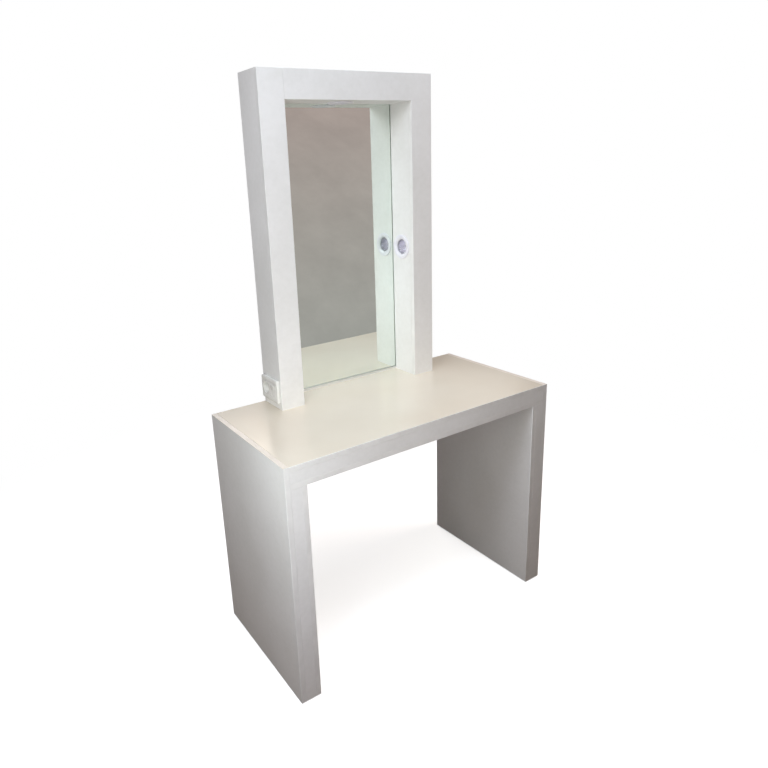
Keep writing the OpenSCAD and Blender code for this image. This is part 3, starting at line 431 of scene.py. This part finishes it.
def evaluated_mesh(thing):
    """What an object's modifiers or its curve make of it, as a plain mesh."""
    bpy.context.view_layer.update()
    graph = bpy.context.evaluated_depsgraph_get()
    return bpy.data.meshes.new_from_object(thing.evaluated_get(graph))


# Corners of a CAD mesh that are nearer than this are one, and faces that meet at less than this
# angle are one flat face.
WELD = 0.005 * MM
FLAT_DEGREES = 0.5


def whole_faces(node, keep=None):
    """A CAD node's mesh, or the faces that keep picks, as a closed bmesh with flat faces whole."""
    shape = bmesh.new()
    shape.from_mesh(frame["nodes"][node].data)
    if keep:
        others = [face for face in shape.faces if not keep(face)]
        bmesh.ops.delete(shape, geom=others, context="FACES")
    bmesh.ops.remove_doubles(shape, verts=shape.verts, dist=WELD)
    bmesh.ops.dissolve_limit(
        shape, angle_limit=math.radians(FLAT_DEGREES), verts=shape.verts, edges=shape.edges
    )
    return shape


def islands(shape):
    """The vertices of each separate solid in a bmesh."""
    left = set(shape.verts)
    found = []
    while left:
        stack = [left.pop()]
        one = []
        while stack:
            vert = stack.pop()
            one.append(vert)
            for edge in vert.link_edges:
                other = edge.other_vert(vert)
                if other in left:
                    left.remove(other)
                    stack.append(other)
        found.append(one)
    return found


def corners(verts):
    """The low and the high corner of the box round some vertices."""
    return tuple(Vector([end(v.co[i] for v in verts) for i in range(3)]) for end in (min, max))


# A face is flat where its normal has this share along an axis, and else part of a round arris.
FLAT_SHARE = 0.995


def ease(shape, radius, steps=2, turn=40.0, glued=None):
    """Breaks the edges between faces that meet at more than turn degrees, but for glued ones,
    and marks what is rounded in the attribute arris."""
    sharp = [
        e
        for e in shape.edges
        if len(e.link_faces) == 2
        and e.calc_face_angle(0.0) > math.radians(turn)
        and not (glued and glued(e))
    ]
    bmesh.ops.bevel(
        shape,
        geom=sharp,
        offset=radius,
        offset_type="OFFSET",
        segments=steps,
        profile=0.5,
        affect="EDGES",
        clamp_overlap=True,
    )
    mark = shape.faces.layers.float.new("arris")
    shape.normal_update()
    for face in shape.faces:
        if max(abs(part) for part in face.normal) < FLAT_SHARE:
            face[mark] = 1.0
            face.smooth = True
    return shape


# Boards

boards = [
    node for node, slot in slot_of.items() if slot in ("white_board", "beige_board", "back_board")
]
boarding = {}
for node in boards + ["desk_edging", "leg_edging", "frame_edging"]:
    shape = bmesh.new()
    shape.from_mesh(frame["nodes"][node].data)
    boarding[node] = BVHTree.FromBMesh(shape)
    shape.free()

# a way that no face or edge of the boards runs along, and the step past a surface that is hit
SKEW_WAY = Vector((0.5377, 0.3119, 0.7833))
PAST = 0.001 * MM
MOST_HITS = 60


def inside(tree, point):
    """Whether a point is inside a closed mesh: a ray from it leaves through an odd number."""
    start = point.copy()
    for count in range(MOST_HITS):
        hit = tree.ray_cast(start, SKEW_WAY)[0]
        if hit is None:
            return count % 2 == 1
        start = hit + SKEW_WAY * PAST
    return False


# how far beside an edge another board is looked for
BESIDE = 0.5 * MM


def glued_in(node):
    """A test for the edges at which another board is glued on flush: they stay sharp."""

    def glued(edge):
        middle = (edge.verts[0].co + edge.verts[1].co) / 2
        a, b = (face.normal for face in edge.link_faces)
        beside = (middle + BESIDE * (a - b), middle + BESIDE * (b - a))
        return any(
            inside(tree, point)
            for other, tree in boarding.items()
            if other != node
            for point in beside
        )

    return glued


# A sawn and faced board has its free edges broken by a stroke of the sanding block.
ARRIS = 0.4 * MM
for board in boards:
    eased = ease(whole_faces(board), ARRIS, glued=glued_in(board))
    piece(board + "_eased", eased, slot_of[board], instead_of=[board])


# Edging of the legs: the strips that lie flat in the desk's top are a piece of their own.
PANEL_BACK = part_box("left_leg_outer_panel")[1].y
DESK_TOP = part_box("desk_top")[1].z
EDGING = 1.0 * MM
SLACK = 0.1 * MM


def in_top(face):
    """Whether a face belongs to a strip in the desk's top."""
    return all(
        v.co.z > DESK_TOP - EDGING - SLACK and abs(v.co.y) < PANEL_BACK + SLACK
        for v in face.verts
    )


def upright(face):
    """Whether a face belongs to a strip on the legs' front or back."""
    return not in_top(face)


uprights = whole_faces("leg_edging", upright)
piece("leg_edging_upright", uprights, "edging", instead_of=["leg_edging"])
piece("desk_end_edging", whole_faces("leg_edging", in_top), "edging", finish=pale_edging)

# Mirror


def block(low, high):
    """A block between two corners."""
    shape = bmesh.new()
    bmesh.ops.create_cube(shape, size=1.0)
    for vert in shape.verts:
        vert.co = Vector([(low if vert.co[i] < 0 else high)[i] for i in range(3)])
    return shape


# The silver lies behind the glass, and 4 mm of glass look 2.7 mm deep. That leaves the dark line
# along the reveals, where the eye looks past their back edges into the rebate.
SILVER_DEPTH = 2.7 * MM
SILVER_ARRIS = 0.3 * MM
low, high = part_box("mirror_glass")
silver = block(Vector((low.x, low.y + SILVER_DEPTH, low.z)), high)
piece("silvered_mirror", ease(silver, SILVER_ARRIS), "mirror", instead_of=["mirror_glass"])

# Outlet

# rim of the cover plate, in mm: how far in from the plate's outline, and how high
RIM = [(0.0, 0.0), (0.0, 3.0), (0.3, 5.4), (1.1, 7.2), (2.4, 8.4), (4.2, 9.0)]
PLATE_CORNER = 8
LEAST_CORNER = 4
# edge of its window, in mm: how much wider than the window, how far below the top, and the radius
# of the corners
WINDOW_EDGE = [(1.2, 0.0, 1.4), (0.3, 0.3, 1.0), (0.0, 0.9, 0.9), (0.0, 2.0, 0.9)]
# play round the socket and the switch, both sides together
WINDOW_PLAY = 0.6 * MM
# its wall, under the top and at the foot, and the thickness of the top
TOP_WALL = 3 * MM
FOOT_WALL = 2 * MM
TOP_THICK = 2 * MM


def round_cornered(width, height, radius, level, steps=8):
    """Points round a rectangle with round corners, all at one level."""
    points = []
    for k, (sx, sy) in enumerate(((1, 1), (-1, 1), (-1, -1), (1, -1))):
        for i in range(steps + 1):
            a = math.radians(90 * k + 90 * i / steps)
            x = sx * (width / 2 - radius) + radius * math.cos(a)
            y = sy * (height / 2 - radius) + radius * math.sin(a)
            points.append(Vector((x, y, level)))
    return points


def skin(loops):
    """Joins loops of as many points each into a closed surface, the last one to the first."""
    shape = bmesh.new()
    rows = [[shape.verts.new(p) for p in loop] for loop in loops]
    count = len(rows[0])
    for k, here in enumerate(rows):
        there = rows[(k + 1) % len(rows)]
        for i in range(count):
            j = (i + 1) % count
            shape.faces.new((here[i], here[j], there[j], there[i])).smooth = True
    bmesh.ops.recalc_face_normals(shape, faces=shape.faces)
    return shape


def cover_plate(width, height, thick):
    """The outlet's cover plate, its top along +Z: a crowned rim, a flat top, one window round
    the socket and the switch, and a hollow back."""
    socket_low, socket_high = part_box("socket_body")
    window_w = socket_high.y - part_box("switch_body")[0].y + WINDOW_PLAY
    window_h = socket_high.z - socket_low.z + WINDOW_PLAY
    loops = []
    for inset, level in RIM:
        less = 2 * inset * MM
        corner = max(PLATE_CORNER - inset, LEAST_CORNER) * MM
        loops.append(round_cornered(width - less, height - less, corner, level * MM))
    for wider, deep, corner in WINDOW_EDGE:
        more = wider * MM
        level = thick - deep * MM
        loops.append(round_cornered(window_w + more, window_h + more, corner * MM, level))
    for wall, corner, level in ((TOP_WALL, 5, thick - TOP_THICK), (FOOT_WALL, 6, 0.0)):
        loops.append(round_cornered(width - 2 * wall, height - 2 * wall, corner * MM, level))
    return skin(loops)


low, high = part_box("outlet_plate")
size, middle = high - low, (low + high) / 2
# the plate's own frame: its top looks left, out of the side panel
at_outlet = Matrix(
    ((0, 0, -1, high.x), (-1, 0, 0, middle.y), (0, 1, 0, middle.z), (0, 0, 0, 1))
)
plate = cover_plate(size.y, size.z, size.x)
bmesh.ops.transform(plate, matrix=at_outlet, verts=plate.verts)
piece("outlet_cover_plate", plate, "outlet_plastic", instead_of=["outlet_plate"])

MOULD_ARRIS = 0.25 * MM
OUTLET_PARTS = {"socket_body": "station", "switch_body": "station", "switch_rocker": "rocker"}
for node, body in OUTLET_PARTS.items():
    eased = ease(whole_faces(node), MOULD_ARRIS)
    piece(node + "_eased", eased, "outlet_plastic", body, [node])

# Spotlights

# A 50 mm reflector lamp, in mm. Levels count from the board's face, the way that it shines.
FLANGE = 3.5  # how far the flange stands out
LAMP_R = 24.75  # radius of the front rim
RIM_HIGH = 3.0  # height of the rim
RIM_WALL = 1.2  # thickness of the rim
RIM_BREAK = 0.3  # how far its edges are broken
LEDGE = 1.6  # how much wider the rim is than the bowl
SEAT = -6.0  # level at which the bowl ends in the rim
BOWL = 28.0  # depth of the bowl outside
NECK = 9.0  # radius at which the bowl ends in the neck
GLASS = 1.3  # thickness of the bowl's wall
MOUTH = SEAT + 1.0  # level at which the bowl's inside starts
INNER_DEEP = BOWL - 1.0  # depth of the bowl inside
RINGS = 7  # rings of pressed diamonds
LAST_RING = 0.985  # share of the bowl's depth at which the last ring has its radius
PIN_OFF = 2.65  # how far each pin is off the axis

NECK_OUTLINE = [(0.0, -42.0), (6.2, -42.0), (6.5, -41.6), (6.5, -34.0), (0.0, -33.6)]
PIN_OUTLINE = [(0.0, -48.0), (0.5, -48.0), (0.75, -47.7), (0.75, -41.0), (0.0, -41.0)]
# the quartz capsule, closed by a dome
CAPSULE_OUTLINE = [(0.0, -33.0), (3.6, -32.6), (4.2, -30.0), (4.3, -20.0)]
CAPSULE_OUTLINE += [(3.9, -17.6), (2.6, -15.8), (1.0, -14.9), (0.0, -14.8)]

# steps by the golden section give neighbouring facets unlike shades
GOLDEN = 0.618034

# The filament, in mm: a coil across the capsule
TURNS = 9
POINTS_PER_TURN = 10
COIL_LONG = 5
COIL_R = 0.6
COIL_LEVEL = -22
WIRE_R = 0.12


def turned(profile, place, sides, diamonds=False):
    """A solid of revolution about Z from (radius, level) points in mm. With diamonds, every
    second ring is turned by half a side."""
    shape = bmesh.new()
    rows = []
    for k, (radius, level) in enumerate(profile):
        if radius == 0:
            rows.append([shape.verts.new((0, 0, level * MM))])
            continue
        row = []
        for i in range(sides):
            a = 2 * math.pi * (i + (0.5 if diamonds and k % 2 else 0.0)) / sides
            spot = (radius * MM * math.cos(a), radius * MM * math.sin(a), level * MM)
            row.append(shape.verts.new(spot))
        rows.append(row)
    for k, (here, there) in enumerate(zip(rows, rows[1:])):
        for i in range(sides):
            j = (i + 1) % sides
            if len(here) == 1:
                shape.faces.new((here[0], there[j], there[i]))
            elif len(there) == 1:
                shape.faces.new((here[i], here[j], there[0]))
            elif not diamonds:
                shape.faces.new((here[i], here[j], there[j], there[i]))
            elif k % 2:
                shape.faces.new((here[i], there[j], there[i]))
                shape.faces.new((here[i], here[j], there[j]))
            else:
                shape.faces.new((here[i], here[j], there[i]))
                shape.faces.new((here[j], there[j], there[i]))
    bmesh.ops.transform(shape, matrix=place, verts=shape.verts)
    return shape


def merged(*shapes):
    """One bmesh out of several."""
    data = bpy.data.meshes.new("merging")
    whole = bmesh.new()
    for shape in shapes:
        shape.to_mesh(data)
        whole.from_mesh(data)
        shape.free()
    bpy.data.meshes.remove(data)
    return whole


def spot_place(flange):
    """A spotlight's own frame: its origin on the board's face, +Z the way that it shines."""
    low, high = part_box(flange)
    middle = (low + high) / 2
    if flange.startswith("left"):
        out, origin = Vector((1, 0, 0)), Vector((high.x - FLANGE * MM, middle.y, middle.z))
    elif flange.startswith("right"):
        out, origin = Vector((-1, 0, 0)), Vector((low.x + FLANGE * MM, middle.y, middle.z))
    else:
        out, origin = Vector((0, 0, -1)), Vector((middle.x, middle.y, low.z + FLANGE * MM))
    side = Vector((0, 1, 0))
    return Matrix.Translation(origin) @ Matrix((side, out.cross(side), out)).transposed().to_4x4()


def bowl_radius(share, inset=0.0):
    """The bowl's radius in mm at a share of its depth."""
    return NECK - inset + (LAMP_R - LEDGE - NECK) * math.sqrt(1 - share * share)


def reflector(place):
    """A reflector lamp: a smooth outside and rim, rings of pressed diamonds inside, the neck and
    its two pins. Each face has a shade of its own in the attribute facet."""
    outside = [(0.0, SEAT - BOWL)]
    outside += [(bowl_radius(i / 10), SEAT - BOWL * i / 10) for i in range(10, -1, -1)]
    outside += [(LAMP_R - RIM_BREAK, SEAT), (LAMP_R, SEAT + RIM_BREAK)]
    outside += [(LAMP_R, SEAT + RIM_HIGH - RIM_BREAK), (LAMP_R - RIM_BREAK, SEAT + RIM_HIGH)]
    outside += [(LAMP_R - RIM_WALL, SEAT + RIM_HIGH), (LAMP_R - RIM_WALL, MOUTH)]
    rings = [
        (bowl_radius(min(i / RINGS, LAST_RING), GLASS), MOUTH - INNER_DEEP * i / RINGS)
        for i in range(RINGS + 1)
    ]
    rings.append((0.0, MOUTH - INNER_DEEP))
    pins = [
        turned(PIN_OUTLINE, place @ Matrix.Translation((way * PIN_OFF * MM, 0, 0)), sides=16)
        for way in (-1, 1)
    ]
    lamp = merged(
        turned(outside, place, sides=64),
        turned(rings, place, sides=24, diamonds=True),
        turned(NECK_OUTLINE, place, sides=32),
        *pins,
    )
    bmesh.ops.recalc_face_normals(lamp, faces=lamp.faces)
    shade = lamp.faces.layers.float.new("facet")
    for i, face in enumerate(lamp.faces):
        face[shade] = (i * GOLDEN) % 1.0
    return lamp


def capsule(place):
    """The quartz capsule round the filament."""
    shape = turned(CAPSULE_OUTLINE, place, sides=32)
    for face in shape.faces:
        face.smooth = True
    return shape


def filament(name, place):
    """The filament: a curve as thick as its wire, wound into a coil and made a mesh."""
    coil = bpy.data.curves.new(name, "CURVE")
    coil.dimensions = "3D"
    coil.bevel_depth = WIRE_R * MM
    coil.bevel_resolution = 1
    line = coil.splines.new("POLY")
    steps = TURNS * POINTS_PER_TURN
    line.points.add(steps)
    for i, point in enumerate(line.points):
        a = 2 * math.pi * i / POINTS_PER_TURN
        across = (i / steps - 0.5) * COIL_LONG
        spot = Vector((across, COIL_R * math.cos(a), COIL_LEVEL + COIL_R * math.sin(a))) * MM
        point.co = (*(place @ spot), 1.0)
    holder = in_scene(name, coil)
    shape = bmesh.new()
    shape.from_mesh(evaluated_mesh(holder))
    bpy.data.objects.remove(holder)
    return shape


for side in ("left", "right", "header"):
    place = spot_place(side + "_spot_flange")
    node = side + "_spot_lamp"
    piece(side + "_reflector_lamp", reflector(place), "lamp_glass", instead_of=[node])
    piece(side + "_lamp_capsule", capsule(place), "lens_glass", finish=quartz)
    coil = filament(side + "_lamp_coil", place)
    piece(side + "_lamp_filament", coil, "spring_steel", finish=filament_wire)

# Screws

# A pan head screw, in mm. Levels count from the head's seat.
CORE_R = 1.25  # radius of the thread's core
THREAD_R = 1.7  # radius over the thread
THREAD_FROM = -10.5  # level at which the thread starts
HALF_TURN = 0.55  # how far it climbs in half a turn
HALF_TURNS = 18
HEAD = 1.6  # height of the head
RECESS_R = 1.75  # how far the cross recess reaches out
RECESS_HALF = 0.42  # half the width of its arms
RECESS_FLOOR = 0.5  # level of its floor
RECESS_TAPER = 0.55  # size of its floor to that of its mouth


def pan_head():
    """One screw about Z with its head's seat at the origin: a coarse thread, a domed head and
    a cross recess that narrows as it goes in."""
    profile = [(0.0, -14.0), (0.5, -13.4), (CORE_R, -11.0)]
    for i in range(HALF_TURNS):
        profile.append((THREAD_R if i % 2 else CORE_R, THREAD_FROM + HALF_TURN * i))
    profile += [(CORE_R, 0.0), (3.4, 0.0), (3.5, 0.15), (3.45, 0.6), (3.0, 1.1), (2.2, 1.45)]
    shape = turned(profile, Matrix.Identity(4), sides=24)
    arm = ((RECESS_R, -RECESS_HALF), (RECESS_R, RECESS_HALF), (RECESS_HALF, RECESS_HALF))
    mouth = []
    foot = []
    for k in range(4):
        a = math.pi / 2 * k
        for along, across in arm:
            x = (along * math.cos(a) - across * math.sin(a)) * MM
            y = (along * math.sin(a) + across * math.cos(a)) * MM
            low_spot = (RECESS_TAPER * x, RECESS_TAPER * y, RECESS_FLOOR * MM)
            mouth.append(shape.verts.new((x, y, HEAD * MM)))
            foot.append(shape.verts.new(low_spot))
    for i in range(len(mouth)):
        j = (i + 1) % len(mouth)
        shape.faces.new((mouth[i], mouth[j], foot[j], foot[i]))
    shape.faces.new(foot)
    rims = [e for e in shape.edges if e.is_boundary]
    bmesh.ops.bridge_loops(shape, edges=rims)
    bmesh.ops.triangulate(shape, faces=[f for f in shape.faces if len(f.verts) > 4])
    bmesh.ops.recalc_face_normals(shape, faces=shape.faces)
    return shape


def repeating_tree(name):
    """Geometry Nodes that put a part at each point, with its +Z the way that the point looks."""
    tree = bpy.data.node_groups.new(name, "GeometryNodeTree")
    for label, kind in (
        ("Places", "NodeSocketGeometry"),
        ("Part", "NodeSocketObject"),
        ("Size", "NodeSocketFloat"),
        ("Finish", "NodeSocketMaterial"),
    ):
        tree.interface.new_socket(label, in_out="INPUT", socket_type=kind)
    tree.interface.new_socket("Parts", in_out="OUTPUT", socket_type="NodeSocketGeometry")
    given = add(tree, "NodeGroupInput").outputs
    part = add(tree, "GeometryNodeObjectInfo", {"Object": given["Part"]})
    way = add(
        tree, "GeometryNodeInputNamedAttribute", {"Name": "looks"}, data_type="FLOAT_VECTOR"
    )
    turn = add(tree, "FunctionNodeAlignRotationToVector", {"Vector": way}, axis="Z")
    dots = add(tree, "GeometryNodeMeshToPoints", {"Mesh": given["Places"]})
    placed = add(
        tree,
        "GeometryNodeInstanceOnPoints",
        {
            "Points": dots,
            "Instance": part.outputs["Geometry"],
            "Rotation": turn,
            "Scale": given["Size"],
        },
    )
    real = add(tree, "GeometryNodeRealizeInstances", {"Geometry": placed})
    done = add(
        tree, "GeometryNodeSetMaterial", {"Geometry": real, "Material": given["Finish"]}
    )
    add(tree, "NodeGroupOutput", {"Parts": done})
    return tree


def repeated(name, one, spots, slot, instead_of):
    """The same small part at many places, by Geometry Nodes. Each spot is a point and the way
    that the part's +Z looks."""
    data = bpy.data.meshes.new(name + "_one")
    one.to_mesh(data)
    one.free()
    single = in_scene(name + "_one", data)
    points = bpy.data.meshes.new(name)
    points.from_pydata([spot for spot, _ in spots], [], [])
    looks = points.attributes.new("looks", "FLOAT_VECTOR", "POINT")
    for i, (_, way) in enumerate(spots):
        looks.data[i].vector = way
    holder = in_scene(name, points)
    tree = repeating_tree(name + "_places")
    modifier = holder.modifiers.new("places", "NODES")
    modifier.node_group = tree
    sockets = {s.name: s.identifier for s in tree.interface.items_tree if s.in_out == "INPUT"}
    modifier[sockets["Part"]] = single
    modifier[sockets["Size"]] = 1.0
    modifier[sockets["Finish"]] = finishes[slot]
    result = evaluated_mesh(holder)
    holder.modifiers.clear()
    holder.data = result
    bpy.data.objects.remove(single)
    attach(holder, "station")
    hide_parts(*instead_of)


def solid_boxes(node):
    """The box of each separate solid in a CAD node."""
    shape = whole_faces(node)
    boxes = [corners(verts) for verts in islands(shape)]
    shape.free()
    return sorted(boxes, key=lambda box: tuple(box[0]))


def head_spot(low, high):
    """The seat of a screw's head and the way that it looks. A screw along Y has its head at the
    back, one along X has it on the left, and an upright one has it on top."""
    size, middle = high - low, (low + high) / 2
    if size.y > 2 * size.x:
        return Vector((middle.x, high.y - HEAD * MM, middle.z)), Vector((0, 1, 0))
    if size.x > 2 * size.y:
        return Vector((low.x + HEAD * MM, middle.y, middle.z)), Vector((-1, 0, 0))
    return Vector((middle.x, middle.y, high.z - HEAD * MM)), Vector((0, 0, 1))


heads = [head_spot(low, high) for low, high in solid_boxes("pan_head_screws")]
repeated("turned_screws", pan_head(), heads, "fixings", ["pan_head_screws"])

# The CAD nodes that stay get the finish of their slot.
for node, thing in frame["nodes"].items():
    for held in thing.material_slots:
        held.material = finishes[slot_of[node]]

# Studio


def emptied(thing):
    """The node tree of a material or a world, with nothing in it."""
    thing.use_nodes = True
    thing.node_tree.nodes.clear()
    return thing.node_tree


def seen(tree):
    """1 for what the camera sees, also through glass and in gloss, and 0 for what lights."""
    path = add(tree, "ShaderNodeLightPath").outputs
    rays = {0: path["Is Camera Ray"], 1: path["Is Transmission Ray"]}
    straight = add(tree, "ShaderNodeMath", rays, operation="MAXIMUM")
    rays = {0: straight, 1: path["Is Glossy Ray"]}
    return add(tree, "ShaderNodeMath", rays, operation="MAXIMUM")


def panel(name, outline, material):
    """A flat stage piece through four corners."""
    data = bpy.data.meshes.new(name)
    data.from_pydata(outline, [], [(0, 1, 2, 3)])
    data.materials.append(material)
    made = in_scene(name, data)
    return made


# Floor: where it is seen, it is a white ground that takes the station's shadow and fades to plain
# white further out, in metres from the middle. To the light that it returns to the station it is
# brown and dim.
FLOOR_GLOW = 0.62
FADE_FROM = 0.8
FADE_TO = 2.2
studio_floor = bpy.data.materials.new("studio_floor")
tree = emptied(studio_floor)
place = add(tree, "ShaderNodeTexCoord").outputs["Object"]
far = add(tree, "ShaderNodeVectorMath", {0: place}, operation="LENGTH").outputs["Value"]
fade = add(
    tree,
    "ShaderNodeMapRange",
    {"Value": far, "From Min": FADE_FROM, "From Max": FADE_TO},
    interpolation_type="SMOOTHSTEP",
)
white = add(tree, "ShaderNodeEmission", {"Color": "#FFFFFF", "Strength": 1.0})
lit = add(tree, "ShaderNodeBsdfDiffuse", {"Color": "#FFFFFF"})
glow = add(tree, "ShaderNodeEmission", {"Color": "#FFFFFF", "Strength": FLOOR_GLOW})
near = add(tree, "ShaderNodeAddShader", {0: lit, 1: glow})
eye = add(tree, "ShaderNodeMixShader", {0: fade, 1: near, 2: white})
returned = add(tree, "ShaderNodeBsdfDiffuse", {"Color": "#7A6858"})
both = add(tree, "ShaderNodeMixShader", {0: seen(tree), 1: returned, 2: eye})
add(tree, "ShaderNodeOutputMaterial", {"Surface": both})
panel(
    "studio_floor", [(-30, -30, 0), (30, -30, 0), (30, 30, 0), (-30, 30, 0)], studio_floor
)

# Room round the station, which only gloss and the mirror show. Its panels glow in colours that
# paint the room's light and shade on them. The wall in front is taupe plaster with the trowel's
# mottling, and leans back so that the camera and the softboxes stand before it. Over it come a
# white band, a glowing strip of painted light, and a dark one. The walls behind and beside are
# darker than the front and painted lighter towards their tops, with a window at the back, and
# the floor is brown. Past all of them is the white world.
room = bpy.data.materials.new("trowelled_plaster_painted_light")
tree = emptied(room)
place = add(tree, "ShaderNodeTexCoord").outputs["Object"]
tint = add(tree, "ShaderNodeAttribute", attribute_name="tint").outputs["Color"]
trowel = add(
    tree,
    "ShaderNodeTexNoise",
    {"Vector": place, "Scale": per(420), "Detail": 6.0, "Roughness": 0.62},
)
patchy = add(
    tree, "ShaderNodeValToRGB", {"Fac": trowel}, stops=[(0.3, "#EFEFEF"), (0.7, "#FFFFFF")]
)
mix = {MIX_SHARE: 1.0, MIX_A: tint, MIX_B: patchy}
mottled = add(tree, "ShaderNodeMix", mix, data_type="RGBA", blend_type="MULTIPLY").outputs[MIXED]
shine = add(tree, "ShaderNodeEmission", {"Color": mottled, "Strength": 1.0})
add(tree, "ShaderNodeOutputMaterial", {"Surface": shine})
room.cycles.emission_sampling = "NONE"
# each wall: its corners, and the colours of its lower and upper pair, in which the room's light
# and shade are painted
ROOM = {
    "front_wall": (
        [(-9, -1.2, 0), (9, -1.2, 0), (9, -4.1, 2.2), (-9, -4.1, 2.2)], "#AEACA9", "#B9A5A1"
    ),
    "front_wall_above": (
        [(-9, -4.1, 2.2), (9, -4.1, 2.2), (9, -6.1, 3.7), (-9, -6.1, 3.7)], "#FFFFFF", "#F6FAFF"
    ),
    "front_wall_top": (
        [(-9, -6.1, 3.7), (9, -6.1, 3.7), (9, -7.8, 5), (-9, -7.8, 5)], "#7C8494", "#20262E"
    ),
    "back_wall": ([(-4, 3, 0), (5, 3, 0), (5, 3, 4), (-4, 3, 4)], "#77706A", "#8A847E"),
    "back_window": (
        [(2.2, 2.99, 2.15), (4.1, 2.99, 2.15), (4.1, 2.99, 3.6), (2.2, 2.99, 3.6)],
        "#F0E8DF",
        "#F6F0E9",
    ),
    "left_wall": ([(-4, -4, 0), (-4, 3, 0), (-4, 3, 4), (-4, -4, 4)], "#8A847E", "#9A958F"),
    "right_wall": ([(5, -4, 0), (5, 3, 0), (5, 3, 4), (5, -4, 4)], "#6A625B", "#77706A"),
    "room_floor": (
        [(-9, -9, 0.001), (9, -9, 0.001), (9, 9, 0.001), (-9, 9, 0.001)], "#6E6055", "#6E6055"
    ),
}
for name, (outline, lower, upper) in ROOM.items():
    made = panel(name, outline, room)
    # the wall glows from its lower colours to its upper ones: painted light and shade of the room
    shades = made.data.color_attributes.new("tint", "FLOAT_COLOR", "CORNER")
    for i, shade in enumerate((lower, lower, upper, upper)):
        shades.data[i].color = linear(shade)
    made.visible_camera = False
    made.visible_diffuse = False
    made.visible_transmission = False
    made.visible_shadow = False

# World: white where it is seen, and next to nothing to the light: the softboxes light.
AMBIENT = 0.01
world = bpy.data.worlds.new("studio")
bpy.context.scene.world = world
tree = emptied(world)
air = add(tree, "ShaderNodeBackground", {"Color": "#FFF4EA", "Strength": AMBIENT})
white = add(tree, "ShaderNodeBackground", {"Color": "#FFFFFF", "Strength": 1.0})
both = add(tree, "ShaderNodeMixShader", {0: seen(tree), 1: air, 2: white})
add(tree, "ShaderNodeOutputWorld", {"Surface": both})

# Softboxes: where each stands, what it looks at, its side in metres, its watts and its colour.
# The two high ones stand above the header's underside, so that it lies in shade.
SOFTBOXES = {
    "near_low_softbox": ((-0.95, -1.0, 0.62), (-0.3, 0.0, 0.8), 0.4, 3.0, "#F0EEFF"),
    "near_left_softbox": ((-1.0, -0.6, 0.92), (-0.3, 0.0, 0.85), 0.3, 3.0, "#F5FFF9"),
    "near_front_softbox": ((-0.2, -1.0, 0.95), (-0.15, 0.1, 0.85), 0.3, 1.3, "#FFF6EE"),
    "high_left_softbox": ((-1.2, -0.6, 2.15), (-0.3, 0.1, 1.0), 0.6, 10, "#F5F8FF"),
    "high_front_softbox": ((-0.4, -1.25, 2.2), (-0.1, 0.1, 1.0), 0.6, 3.6, "#FFF9EE"),
    "left_softbox": ((-2.3, -0.2, 1.6), (0, 0.1, 1.1), 1.2, 8.8, "#FFF6F5"),
    "ceiling_softbox": ((0.0, -0.5, 3.2), (0, 0, 0.8), 1.6, 31, "#E0EEFF"),
    "right_softbox": ((2.4, -0.6, 1.8), (0.2, 0, 0.8), 1.2, 26, "#FFEBDE"),
    "back_softbox": ((0.9, 2.0, 2.4), (0, 0.1, 0.9), 1.0, 10, "#FFF3EA"),
    "back_low_softbox": ((0.3, 3.0, 0.9), (0, 0.24, 0.9), 1.2, 20, "#FFFDFC"),
}
for name, (place, aim, side, watts, colour) in SOFTBOXES.items():
    lamp = bpy.data.lights.new(name, "AREA")
    lamp.shape = "SQUARE"
    lamp.size = side
    lamp.energy = watts
    lamp.color = linear(colour)[:3]
    made = in_scene(name, lamp)
    made.location = place
    made.rotation_euler = (Vector(aim) - Vector(place)).to_track_quat("-Z", "Y").to_euler()
    made.visible_camera = False

# Camera: where the photograph was taken from, worked out from the corners of the boards. The
# picture is this many pixels on each side.
PICTURE = 768
EYE = Vector((-1.150, -1.567, 1.486))
YAW, PITCH, ROLL = 0.56176, -0.29074, -0.04926
FOCAL_PX = 636.2
CENTRE_PX = (339.4, 354.9)

ahead = Vector(
    (math.sin(YAW) * math.cos(PITCH), math.cos(YAW) * math.cos(PITCH), math.sin(PITCH))
)
level_right = Vector((math.cos(YAW), -math.sin(YAW), 0))
level_up = level_right.cross(ahead)
right = level_right * math.cos(ROLL) + level_up * math.sin(ROLL)
up = level_up * math.cos(ROLL) - level_right * math.sin(ROLL)
lens = bpy.data.cameras.new("photo_camera")
lens.sensor_width = 36.0
lens.lens = FOCAL_PX * lens.sensor_width / PICTURE
lens.shift_x = (PICTURE / 2 - CENTRE_PX[0]) / PICTURE
lens.shift_y = (CENTRE_PX[1] - PICTURE / 2) / PICTURE
camera = in_scene("photo_camera", lens)
camera.matrix_world = (
    Matrix.Translation(EYE) @ Matrix((right, up, -ahead)).transposed().to_4x4()
)
bpy.context.scene.camera = camera
bpy.context.scene.view_settings.view_transform = "Standard"
